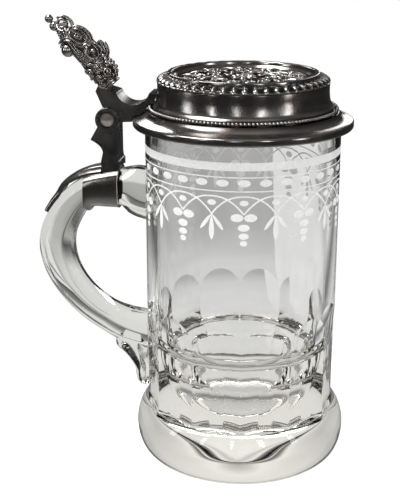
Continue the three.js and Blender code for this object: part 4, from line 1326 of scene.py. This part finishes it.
@dataclass
class ReliefDisc:
    """The inlaid disc with a cast relief: a wreath of scrolls, leaves and berries round a rosette.

    A scroll has its middle, size, hand, turns and start; a leaf its base, its tip and how wide it is;
    a berry its place and its radius.
    """

    repeats: int = 9
    petals: int = 8
    ground_rings: int = 30
    steps: int = 288
    rise: float = 0.35
    crown: float = 0.2
    ground_shade: float = 0.95
    under_shade: float = 0.2
    stalk_z: float = 171.6
    leaf_z: float = 171.5
    rosette_z: float = 171.75
    boss_r: float = 1.6
    scrolls: tuple = (((21.5, 2.6), 3.9, 1, 1.35, 3.6), ((16.0, -4.4), 3.3, -1, 1.3, 1.2),
                      ((24.6, -4.8), 2.5, -1, 1.2, 2.2), ((11.0, 1.8), 2.6, 1, 1.2, 5.0))
    leaves: tuple = (((18.5, 6.5), (27.0, 8.5), 1.5), ((14.5, 4.5), (8.0, 8.0), 1.3),
                     ((19.5, -8.0), (27.4, -1.0), 1.2))
    berries: tuple = ((21.6, 2.7, 172.2, 0.9), (23.4, 7.2, 171.8, 0.65), (24.9, 6.4, 171.7, 0.6),
                      (16.0, -4.4, 172.5, 0.8), (27.3, 2.4, 171.5, 0.55), (27.5, 4.0, 171.5, 0.55),
                      (24.7, -4.8, 172.0, 0.65), (13.0, -1.2, 172.1, 0.6))

    def turned_copies(self, paths: np.ndarray, count: int) -> np.ndarray:
        """Copies of paths turned about the disc's middle: x cos a - y sin a, x sin a + y cos a."""
        angle = circle(count)[:, None, None]
        x, y, z = (paths[..., k][None] for k in range(3))
        across, along = x * np.cos(angle) - y * np.sin(angle), x * np.sin(angle) + y * np.cos(angle)
        copies = np.stack([across, along, np.broadcast_to(z, across.shape)], axis=-1)
        return copies.reshape(-1, paths.shape[-2], 3)

    def wreath(self, path: np.ndarray, radius: np.ndarray, count: int) -> np.ndarray:
        """A round tube along a path, and its copies all round the disc."""
        return tubes(self.turned_copies(path[None], count), radius, (0, 0, 1))

    def scroll(self, middle: tuple, size: float, hand: float, turns: float, start: float) -> np.ndarray:
        """A scroll: the radius shrinks as the angle grows, from its stalk to its eye."""
        t = np.linspace(0, 1, 30)
        radius = size * (1 - 0.82 * t) ** 0.9
        angle = start + hand * turns * TURN * t
        x, y = middle[0] + radius * np.cos(angle), middle[1] + radius * np.sin(angle)
        return np.stack([x, y, self.top(middle[0]) + 0.4 + 0.45 * t], axis=1)

    def top(self, radius: float) -> float:
        """The height of the disc's ground at a radius."""
        return SHOULDER_Z + self.rise + self.crown * (1 - (radius / DISC_R) ** 2)

    def ornament(self) -> list[np.ndarray]:
        """The scrolls, stalks, leaves, berries and the rosette as closed tubes and balls."""
        t = np.linspace(0, 1, 30)
        arch = np.sin(t * math.pi)
        parts = [self.wreath(self.scroll(*scroll), 0.62 - 0.3 * t, self.repeats)
                 for scroll in self.scrolls]
        sway = 18 + 5.5 * np.sin(t * TURN * 0.5 + 0.4)
        stalk = np.stack([sway, -8 + 16 * t, self.stalk_z + 0.4 * arch], axis=1)
        parts.append(self.wreath(stalk, 0.55 * arch ** 0.4 + 0.05, self.repeats))
        for base, tip, wide in self.leaves:
            line = np.array(base) + t[:, None] * (np.array(tip) - np.array(base))
            bow = 0.9 * arch
            leaf = np.stack([line[:, 0] - bow, line[:, 1] + bow, self.leaf_z + 1.1 * arch ** 0.7], axis=1)
            swell = np.sin(math.pi * t ** 0.8) ** 0.8
            parts.append(self.wreath(leaf, wide * swell * 0.6 + 0.04, self.repeats))
        berries = np.array(self.berries)
        spots = self.turned_copies(berries[None, :, :3], self.repeats).reshape(-1, 3)
        parts.append(balls(spots, np.tile(berries[:, 3], self.repeats), 10))
        petal = np.stack([2.2 + 3.6 * t, 0 * t, self.rosette_z + 0.5 * arch], axis=1)
        parts.append(self.wreath(petal, 1.05 * np.sin(math.pi * t ** 0.7) ** 0.7 + 0.05, self.petals))
        parts.append(balls(np.array([(0.0, 0.0, self.rosette_z)]), np.array([self.boss_r]), 16))
        return parts

    def build(self, finishes: Finishes) -> bpy.types.Object:
        """Builds the disc: a low grained dome with the ornament on it."""
        share = np.linspace(0, 1, self.ground_rings)
        profile = np.stack([DISC_R * share, self.top(DISC_R * share)], axis=1)
        profile = np.concatenate([profile, [[DISC_R, SHOULDER_Z], [0.0, SHOULDER_Z]]])
        # Painted shade: the disc's ground round the ornament is darkened to near black, its underside a
        # little.
        painted_shade = np.full((len(profile), self.steps), self.ground_shade)
        painted_shade[-1] = self.under_shade
        surface = Surface().grid(turned(profile, self.steps), True, False, painted_shade)
        for part in self.ornament():
            surface.copies(part)
        item = surface.build("relief_disc_cast", 60)
        return finish_piece(item, Body.LID, "dark_pewter", finishes.bright, "relief_disc")


@dataclass
class LidLever:
    """The hinge lever: a thick plate scooped out above, with the two moving rings."""

    scoop_r: float = 7.5
    scoop: tuple = (11.6, 14.4)

    def outline(self) -> np.ndarray:
        """The side view, with the scoop as a circle's arc between the thumblift and the drum."""
        back, front = np.array((-3.8, 14.5)), np.array((4.4, 12.1))
        middle = np.array(self.scoop)
        start = math.atan2(*(front - middle)[::-1]) % TURN
        sweep = 3 * math.pi - 2 * start
        angles = start + sweep * np.linspace(0, 1, 49)
        arc = middle + self.scoop_r * np.stack([np.cos(angles), np.sin(angles)], axis=1)
        rest = np.array([[22.8, 12.2], [22.8, 0.3], [5.95, -0.7], [0, 0], [-1.4, 4.8], [-4.7, 12.5]])
        return np.concatenate([[back], [front], arc[1:], rest]) + (HINGE_X, HINGE_Z)

    def clearance(self) -> Surface:
        """The lid's outside filled to the axis and grown by the seat's gap."""
        grown = [(48.1, 150.5), (48.1, 155.0), (46.6, 155.65), (44.4, 156.35), (42.6, 157.5),
                 (41.8, 158.7), (41.8, 161.0), (39.6, 161.0), (38.3, 162.0), (37.65, 164.0), (37.3, 166.6),
                 (37.3, 171.2), (0, 171.2), (0, 150.5)]
        return Surface().grid(turned(np.array(grown), 256))

    def build(self, finishes: Finishes) -> bpy.types.Object:
        """Builds the lever: the side view as a plate, cut to the lid, with its rings."""
        item = plate(self.outline(), HINGE_HALF).build("lid_lever_cast")
        combine(item, self.clearance(), Join.TAKE)
        with_rings(item, False)
        smooth(item, CAST_SHARP)
        soften(item, 0.35)
        return finish_piece(item, Body.LID, "dark_pewter", finishes.dark, "lid_lever")


@dataclass
class Thumblift:
    """The cast ornament on the lever that the thumb presses.

    Its places are given along its own axis and in front of it. A leaf has its start, its end, its
    thickness and its lift off the core; a ball at an end has its place and radius, one on the sides
    its place, radius and lift, and one on the front edge how far it is along and across.
    """

    length: float = 39.2
    lean: float = 42.3
    half_width: float = 5.6
    fullness: float = 2.6
    leaf_table: tuple = (
        ((13.1, 6.9), (9.9, 7.9), 1.15, 0.1), ((20.6, 4.2), (19.2, 7.6), 0.9, 0.2),
        ((13.4, 0.6), (11.6, 2.6), 0.85, 0.1), ((12.6, 3.2), (11.4, 5.6), 0.8, 0.2),
        ((12.9, -1.9), (10.6, -3.0), 0.75, 0.0), ((8.9, -0.6), (7.4, -2.3), 0.8, 0.2),
        ((8.2, 0.9), (7.2, 3.2), 0.75, 0.2), ((30.6, 5.2), (29.4, 3.4), 0.7, 0.2),
        ((7.4, 6.0), (8.2, 7.6), 0.8, 0.0), ((4.2, -1.6), (3.6, 0.4), 0.6, 0.1),
        ((3.6, 6.0), (2.2, 5.0), 0.6, 0.1), ((6.9, -3.0), (5.0, -3.2), 0.6, 0.0))
    end_balls: tuple = ((39.2, 0.3, 0, 1.85), (35.4, -0.2, 0, 2.1))
    side_balls: tuple = (
        (15.9, 6.4, 1.35, 0.2), (24.9, 5.6, 0.55, 0.4), (33.5, 3.5, 0.75, 0.7), (9.6, 3.6, 0.8, 0.5),
        (5.4, 5.4, 0.75, 0.4), (5.7, 1.2, 0.7, 0.4), (10.0, -0.9, 0.75, 0.3), (12.9, 0.9, 0.8, 0.2),
        (7.6, 3.9, 0.7, 0.3), (1.9, 3.2, 0.5, 0.3), (2.2, 0.0, 0.5, 0.3), (3.9, 2.6, 0.6, 0.2),
        (7.9, -3.0, 0.75, 0.1), (13.3, 4.6, 0.6, 0.2), (20.9, 6.9, 0.6, 0.2), (29.9, 2.0, 0.55, 0.3))
    edge_balls: tuple = (
        (11.2, 0.0), (10.0, 2.3), (10.0, -2.3), (8.4, 0.6), (7.2, 3.2), (7.2, -3.2),
        (6.4, -0.9), (5.0, 2.0), (4.8, -2.2), (3.4, 0.3), (8.6, 3.9), (8.6, -3.9))

    def __post_init__(self) -> None:
        """Works out its own axes, along it and in front of it, and its core's middle line."""
        stations = np.array([
            (0, -4.6, 4.6, 0.84), (0.128, -2.8, 7.6, 1), (0.23, -3.2, 7.6, 1.06), (0.321, -2.8, 6.6, 0.9),
            (0.416, -2.2, 8.2, 1), (0.51, -2.2, 7.8, 0.96), (0.612, -2.6, 6.8, 0.96),
            (0.714, -1.8, 5.4, 0.8), (0.806, -1.1, 4.2, 0.55), (0.88, -0.7, 1.4, 0.25)])
        self.line = through(stations * (self.length, 1, 1, self.half_width), 70)[0]
        lean = math.radians(self.lean)
        self.axis = np.array([-math.sin(lean), 0, math.cos(lean)])
        self.front = np.array([math.cos(lean), 0, math.sin(lean)])
        self.root = np.array([HINGE_X + 0.3, 0, HINGE_Z + 13.3])

    def place(self, local: np.ndarray) -> np.ndarray:
        """Points given as along, in front and across, put into the mug's frame."""
        return (self.root + local[..., :1] * self.axis + local[..., 1:2] * self.front
                + local[..., 2:] * np.array([0, 1, 0]))

    def core(self) -> np.ndarray:
        """The body that carries the ornament: superellipse sections along its axis."""
        line = self.line
        sections = superellipse(line[:, 3], (line[:, 2] - line[:, 1]) / 2, 48, self.fullness)
        along = np.broadcast_to(line[:, :1], sections.shape[:2])
        out = sections[..., 1] + ((line[:, 1] + line[:, 2]) / 2)[:, None]
        return self.place(np.stack([along, out, sections[..., 0]], axis=-1))

    def sides(self, along: np.ndarray) -> list[np.ndarray]:
        """The core's back, its front and half its width at places along it."""
        return [np.interp(along, self.line[:, 0], self.line[:, k]) for k in (1, 2, 3)]

    def fall(self, share: np.ndarray) -> np.ndarray:
        """How far the core still reaches at a share u of the way to its edge: (1 - u^n)^(1/n)."""
        return (1 - np.clip(share, 0, 0.985) ** self.fullness) ** (1 / self.fullness)

    def on_side(self, flat: np.ndarray, side: int, lift: float = 0.0) -> np.ndarray:
        """Points along and in front, laid on the core's side."""
        back, front, width = self.sides(flat[..., 0])
        across = width * self.fall(np.abs(2 * flat[..., 1] - back - front) / (front - back)) + lift
        return np.stack([flat[..., 0], flat[..., 1], side * across], axis=-1)

    def on_edge(self, along: np.ndarray, across: np.ndarray, ahead: int, lift: float = 0.0) -> np.ndarray:
        """Points laid on the core's front or back edge."""
        back, front, width = self.sides(along)
        out = (front - back) / 2 * self.fall(np.abs(across) / width) + lift
        return np.stack([along, (back + front) / 2 + ahead * out, across], axis=-1)

    def oval(self, middle: tuple, size: tuple, start: float = 0, end: float = 360, tilt: float = 0,
             shrink: float = 0.0) -> np.ndarray:
        """Part of an oval, or of a spiral where it shrinks; angles in degrees, 0 is along."""
        angle = np.radians(np.linspace(start, end, 40))
        size = np.array(size) * (1 - shrink * np.linspace(0, 1, 40))[:, None]
        x, y = size[:, 0] * np.cos(angle), size[:, 1] * np.sin(angle)
        c, d = math.cos(math.radians(tilt)), math.sin(math.radians(tilt))
        return np.stack([middle[0] + x * c - y * d, middle[1] + x * d + y * c], axis=1)

    def lines(self, side: int) -> list[tuple[np.ndarray, np.ndarray]]:
        """The raised lines on one side, each with its radius from end to end."""
        t = np.linspace(0, 1, 40)
        flat = [
            (self.oval((24.2, -1.4), (3.6, 3.6), -50, 130), 0.5, 0.3),
            (self.oval((24.2, -1.4), (4.8, 4.8), -30, 118), 0.45, 0.1),
            (self.oval((24.9, 5.6), (4.1, 2.2), tilt=-14), 0.6, 0.2),
            (self.oval((24.9, 5.6), (5.5, 3.3), 10, 350, -14), 0.5, 0.1),
            (self.oval((24.9, 5.6), (1.5, 0.8), tilt=-14), 0.45, 0.1),
            (self.oval((15.9, 6.4), (3.1, 2.9)), 0.75, 0.5),
            (self.oval((15.9, 6.4), (4.6, 4.2), 60, 250, shrink=0.1), 0.7, 0.2),
            (self.oval((15.9, 6.4), (5.8, 5.2), 90, 205), 0.45, 0.1),
            (self.oval((33.6, 3.4), (2.9, 2.6), -160, 330, shrink=0.7), 0.6, 0.5),
            (self.oval((32.6, 3.0), (4.4, 3.8), 0, 150), 0.6, 0.1),
            (self.oval((9.6, 3.6), (2.1, 2.0), 0, 420, shrink=0.6), 0.6, 0.3),
            (self.oval((5.4, 5.4), (1.9, 1.9), 180, 560, shrink=0.6), 0.55, 0.3),
            (self.oval((5.7, 1.2), (1.8, 1.7), 90, 480, shrink=0.6), 0.55, 0.3),
            (self.oval((10.0, -0.9), (1.7, 1.5), -60, 300, shrink=0.6), 0.5, 0.3),
            (self.oval((1.9, 3.2), (1.5, 1.4), 0, 400, shrink=0.6), 0.45, 0.2),
            (self.oval((2.2, 0.0), (1.4, 1.3), 180, 560, shrink=0.6), 0.45, 0.2),
            (self.oval((2.4, -2.6), (1.3, 1.2), 0, 400, shrink=0.6), 0.45, 0.2),
        ]
        for k in range(4):
            rib = np.stack([21.2 - 8.0 * t, -1.3 + 1.15 * k + (0.35 + 0.1 * k) * t], axis=1)
            flat.append((rib, 0.42, 0.15))
        for k in (0.0, -1.2):
            stalk = np.stack([31.5 - 18.0 * t, 3.6 - 1.9 * np.sin(t * 2.4) + k * (1 - 0.2 * t)], axis=1)
            flat.append((stalk, 0.48, 0.2))
        lines = [(self.on_side(path, side, lift), thickness) for path, thickness, lift in flat]
        for k in (0.0, 1.5):
            across = side * (0.9 + k + 0.9 * np.sin(3.1 * t))
            lines.append((self.on_edge(30 - 17.5 * t, across, 1, 0.25), 0.5))
        lines.append((self.on_edge(12 - 10.5 * t, side * (1.4 + 0.5 * np.sin(7 * t)), 1, 0.2), 0.5))
        for k in range(5):
            notch = np.stack([33.7 - 1.05 * k + 0.5 * t, 1.7 - 0.42 * k - 1.9 * t], axis=1)
            lines.append((self.on_side(notch, side, 0.25), 0.42))
        swell = 0.45 + 0.55 * np.sin(math.pi * t) ** 0.35
        return [(path, thickness * swell) for path, thickness in lines]

    def leaves(self, side: int) -> list[tuple[np.ndarray, np.ndarray]]:
        """Plump leaves and berries: short strokes thick in the middle, each with its radius."""
        t = np.linspace(0, 1, 16)
        arch = np.sin(math.pi * t)
        strokes = []
        for start, end, thickness, lift in self.leaf_table:
            flat = np.array(start) + t[:, None] * (np.array(end) - np.array(start))
            flat[:, 1] += 0.35 * arch
            strokes.append((self.on_side(flat, side, lift), thickness * arch ** 0.6 + 0.03))
        return strokes

    def beads(self) -> tuple[np.ndarray, np.ndarray]:
        """The balls: both ends, the volutes, the bosses, and the knobs and berries of the foliage."""
        places = [np.array(ball[:3], float) for ball in self.end_balls]
        radii = [ball[3] for ball in self.end_balls]
        for side in (-1, 1):
            places.append(np.array([23.7, -2.0, side * 2.7]))
            radii.append(3.0)
            for along, front, radius, lift in self.side_balls:
                places.append(self.on_side(np.array([along, front]), side, lift))
                radii.append(radius)
        for along, across in self.edge_balls:
            places.append(self.on_edge(np.array(along), np.array(across), 1, 0.45))
            radii.append(0.95)
        return np.array(places), np.array(radii)

    def bands(self) -> list[np.ndarray]:
        """Two plain bands round the foot, as closed rings of a rounded section."""
        bands = []
        for along in (0.4, 1.5):
            section = superellipse(np.array([5.1]), np.array([4.9]), 64, 4.0)[0]
            angle = circle(8)[:, None]
            out = 1 + 0.09 * np.cos(angle)
            ring = np.stack([along + 0.4 * np.sin(angle) + 0 * section[:, 0], 0.3 + section[:, 1] * out,
                             section[:, 0] * out], axis=-1)
            bands.append(self.place(ring))
        return bands

    def build(self, finishes: Finishes) -> bpy.types.Object:
        """Builds the thumblift from its core and the ornaments on it."""
        core = capped(self.core())
        # Painted shade: the core under the ornaments is darkened.
        surface = Surface().grid(core, True, False, np.full(core.shape[:2], 0.7))
        centres, radii = self.beads()
        surface.copies(balls(self.place(centres), radii, 16))
        for side in (-1, 1):
            for line, radius in self.lines(side) + self.leaves(side):
                surface.copies(tubes(self.place(line)[None], radius, (0.02, 1, 0.01)))
        for ring in self.bands():
            surface.grid(ring, True, True)
        item = surface.build("thumblift_cast", 50)
        return finish_piece(item, Body.LID, "dark_pewter", finishes.bright, "thumblift")


def stand_and_look(item: bpy.types.Object, place: tuple, target: tuple) -> None:
    """Puts an object of the studio in its place, turned towards a target, and into the scene."""
    item.location = place
    item.rotation_euler = (Vector(target) - Vector(place)).to_track_quat("-Z", "Y").to_euler()
    bpy.context.scene.collection.objects.link(item)


@dataclass
class Studio:
    """The pale floor, the lamps, the white surroundings and the camera.

    Places and sizes are in metres, angles in degrees, the lens in millimetres. A lamp has its name,
    its place, the height it points at, its size, its power and what it does not show in; a strip its
    name, the angle it stands at, its height, how wide it is and its power. The tables of levels say
    how light the floor is by distance, and the room from below to above.
    """

    eye: tuple = (0.04796, -0.47493, 0.2465)
    target: tuple = (-0.01842, -0.00259, 0.09455)
    lens: float = 80.2
    mirrored: tuple = ((0.0, 0.3), (0.1, 0.4), (0.2, 0.25), (0.32, 0.1), (0.5, 0.05), (1.5, 0.03))
    # For glass the floor glows by distance; the dip between 0.033 and 0.044 m is a painted contact shadow
    # under the foot's standing ring.
    seen_through: tuple = ((0.0, 0.62), (0.033, 0.62), (0.0375, 0.2), (0.041, 0.25), (0.044, 0.75),
                           (0.06, 0.8), (0.2, 0.75), (0.27, 0.7), (0.36, 0.48), (0.6, 0.38), (1.2, 0.3),
                           (2.5, 0.1))
    # A painted bright patch on the floor, behind the mug and to its right, glowing for glass.
    glow_patch_edge: tuple = (0.998, 0.057, 0.0195, 0.0225)
    glow_patch_level: float = 0.85
    front_level: float = 0.05
    side_level: float = 0.2
    glow_patch_depth: tuple = (0.02, 0.1)
    front_edge: tuple = (-0.14, -0.03)
    front_end: tuple = (-0.34, -0.2)
    side_stretch: tuple = (1.6, -1.0)
    side_edge: tuple = (0.18, 0.29)
    side_end: tuple = (0.31, 0.43)
    white_from: tuple = (0.055, 0.13)
    room_front: tuple = (-0.3, 0.15)
    lamps: tuple = (("lamp_above", (0.0, 0.1, 0.95), 0.05, (0.8, 0.8), 7, Unseen.METAL),
                    ("lamp_window", (-0.42, 0.78, 0.64), 0.16, (0.2, 0.3), 1.6, Unseen.GLASS),
                    ("lamp_top", (-0.4, -0.12, 0.9), 0.16, (0.4, 0.4), 6, Unseen.GLASS))
    strip_away: float = 0.75
    strip_target: float = 0.12
    strip_tall: float = 0.4
    strips: tuple = (("strip_left", 200, 0.3, 0.1, 0.5), ("strip_left_front", 236, 0.35, 0.06, 0.35),
                     ("strip_front", 268, 0.35, 0.04, 0.25), ("strip_right_front", 300, 0.4, 0.08, 0.5),
                     ("strip_right", 335, 0.3, 0.1, 0.6), ("strip_back", 80, 0.4, 0.12, 0.6))
    room_soft: tuple = ((0.0, 0.8), (1.0, 1.05))
    room_mirrored: tuple = ((0.0, 0.05), (0.25, 0.04), (0.6, 0.14), (0.85, 0.1), (1.0, 0.45))
    room_through: tuple = ((0.0, 0.1), (0.1, 0.25), (0.2, 0.9), (0.42, 0.6), (0.6, 0.92), (1.0, 0.92))

    def floor(self) -> bpy.types.Object:
        """A wide round floor: white to the eye; for metal and glass it glows round the mug with painted
        light, for glass with darker bands in front and at the sides, a painted bright patch and a painted
        contact shadow.
        """
        item = Surface().grid(turned(np.array([(0.0, 0.0), (300.0, 0.0), (9000.0, 0.0)]), 48)).build("floor")
        s = Shader("floor_white")
        s.surface(Base_Color=(0.88, 0.88, 0.88, 1), Roughness=0.8, Specular_IOR_Level=0.1)
        distance = s.node("ShaderNodeVectorMath", Vector=s.place)
        distance.operation = "LENGTH"
        distance = distance.outputs["Value"]
        ray = s.node("ShaderNodeLightPath")
        far = s.remap(distance, *self.white_from, 0.0, 1.0)
        eye_white = s.math("MULTIPLY", ray.outputs["Is Camera Ray"], far)
        white = s.node("ShaderNodeEmission", Color=WHITE, Strength=1.0)
        look = s.blend(eye_white, s.shader.outputs[0], white.outputs[0])
        split = s.node("ShaderNodeSeparateXYZ", Vector=s.place).outputs
        x_share, y_share, dark_side, light_side = self.glow_patch_edge
        beside = s.math("ADD", s.math("MULTIPLY", split["X"], x_share),
                        s.math("MULTIPLY", split["Y"], y_share))
        # Painted bright patch behind the mug and to its right.
        glow_patch = s.math("MULTIPLY", s.remap(beside, dark_side, light_side, 0.0, self.glow_patch_level),
                      s.remap(split["Y"], *self.glow_patch_depth, 0.0, 1.0))
        behind = s.math("MAXIMUM", s.remap(split["Y"], *self.front_edge, self.front_level, 1.0),
                        s.remap(split["Y"], *self.front_end, 1.0, self.front_level))
        right, left = self.side_stretch
        sideways = s.math("MAXIMUM", s.math("MULTIPLY", split["X"], right),
                          s.math("MULTIPLY", split["X"], left))
        aside = s.math("MAXIMUM", s.remap(sideways, *self.side_edge, 1.0, self.side_level),
                       s.remap(sideways, *self.side_end, self.side_level, 1.0))
        seen = s.math("MULTIPLY", s.math("MAXIMUM", s.steps(distance, self.seen_through), glow_patch),
                      s.math("MULTIPLY", behind, aside))
        mirrored = s.steps(distance, self.mirrored)
        for kind, level in (("Is Glossy Ray", mirrored), ("Is Transmission Ray", seen)):
            glow = s.node("ShaderNodeEmission", Color=WHITE, Strength=level)
            look = s.blend(ray.outputs[kind], look, glow.outputs[0])
        s.finish(look)
        item.data.materials.append(s.material)
        return item

    def lamp(self, name: str, place: tuple, target: float, size: tuple, power: float,
             unseen: Unseen) -> None:
        """A soft rectangular lamp that points at a height on the mug's axis."""
        data = bpy.data.lights.new(name, "AREA")
        data.shape = "RECTANGLE"
        data.size, data.size_y = size
        data.energy = power
        item = bpy.data.objects.new(name, data)
        item.visible_glossy = unseen is not Unseen.METAL
        item.visible_transmission = unseen is not Unseen.GLASS
        stand_and_look(item, place, (0, 0, target))

    def surroundings(self) -> None:
        """White where the eye looks past the floor; a room lit from above for metal and for glass."""
        world = bpy.data.worlds.new("studio")
        world.use_nodes = True
        tree = world.node_tree
        tree.nodes.clear()
        ray = tree.nodes.new("ShaderNodeLightPath")
        place = tree.nodes.new("ShaderNodeTexCoord")
        split = tree.nodes.new("ShaderNodeSeparateXYZ")
        tree.links.new(place.outputs["Generated"], split.inputs[0])
        look = None
        for kind, stops in (("", self.room_soft), ("Is Glossy Ray", self.room_mirrored),
                            ("Is Transmission Ray", self.room_through), ("Is Camera Ray", WHITE_ALL_OVER)):
            ramp = tree.nodes.new("ShaderNodeValToRGB")
            tree.links.new(split.outputs["Z"], ramp.inputs[0])
            fill_ramp(ramp, stops)
            light = tree.nodes.new("ShaderNodeBackground")
            tree.links.new(ramp.outputs["Color"], light.inputs["Color"])
            if kind == "Is Transmission Ray":
                behind = tree.nodes.new("ShaderNodeMapRange")
                tree.links.new(split.outputs["Y"], behind.inputs["Value"])
                ends = (*self.room_front, self.front_level)
                for name, value in zip(("From Min", "From Max", "To Min"), ends):
                    behind.inputs[name].default_value = value
                tree.links.new(behind.outputs["Result"], light.inputs["Strength"])
            if look:
                blend = tree.nodes.new("ShaderNodeMixShader")
                tree.links.new(ray.outputs[kind], blend.inputs[0])
                tree.links.new(look, blend.inputs[1])
                tree.links.new(light.outputs[0], blend.inputs[2])
                look = blend.outputs[0]
            else:
                look = light.outputs[0]
        output = tree.nodes.new("ShaderNodeOutputWorld")
        tree.links.new(look, output.inputs["Surface"])
        bpy.context.scene.world = world

    def camera(self) -> None:
        """The camera of the photograph."""
        data = bpy.data.cameras.new("photo_camera")
        data.sensor_fit = "VERTICAL"
        data.sensor_height = 36
        data.lens = self.lens
        item = bpy.data.objects.new("photo_camera", data)
        stand_and_look(item, self.eye, self.target)
        bpy.context.scene.camera = item

    def build(self) -> None:
        """Builds the whole studio."""
        self.floor()
        for lamp in self.lamps:
            self.lamp(*lamp)
        for name, turn, height, wide, power in self.strips:
            angle = math.radians(turn)
            place = (self.strip_away * math.cos(angle), self.strip_away * math.sin(angle), height)
            self.lamp(name, place, self.strip_target, (wide, self.strip_tall), power, Unseen.GLASS)
        self.surroundings()
        self.camera()
        bpy.context.scene.view_settings.view_transform = "Standard"


def carry_over(frame: dict, finishes: Finishes) -> None:
    """Gives the hinge pin, the one solid that stays, its better material."""
    node = "hinge_pin"
    for slot in frame["nodes"][node].material_slots:
        slot.material = finishes.steel
    LOG.info("%s: carried over from the solids", node)


def main() -> None:
    """Builds every piece in order, hiding the solids that they stand for, then the pin's material and the
    studio.
    """
    logging.basicConfig(level=logging.INFO, format="%(name)s: %(message)s")
    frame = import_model()
    finishes = Finishes()
    line = HandleLine()
    collar = Collar(line)
    pieces = (GlassBody(), Frieze(), GlassHandle(line), collar, Strap(line, collar), HingePost(collar),
              PinPlug(-1, "pin_plug_near_dished", "pin_plug_near"),
              PinPlug(1, "pin_plug_far_dished", "pin_plug_far"),
              LidCover(), BeadRing(), Gadroons(), LidRim(), ReliefDisc(), LidLever(), Thumblift())
    for piece in pieces:
        piece.build(finishes)
    carry_over(frame, finishes)
    Studio().build()


if __name__ == "__main__":
    main()
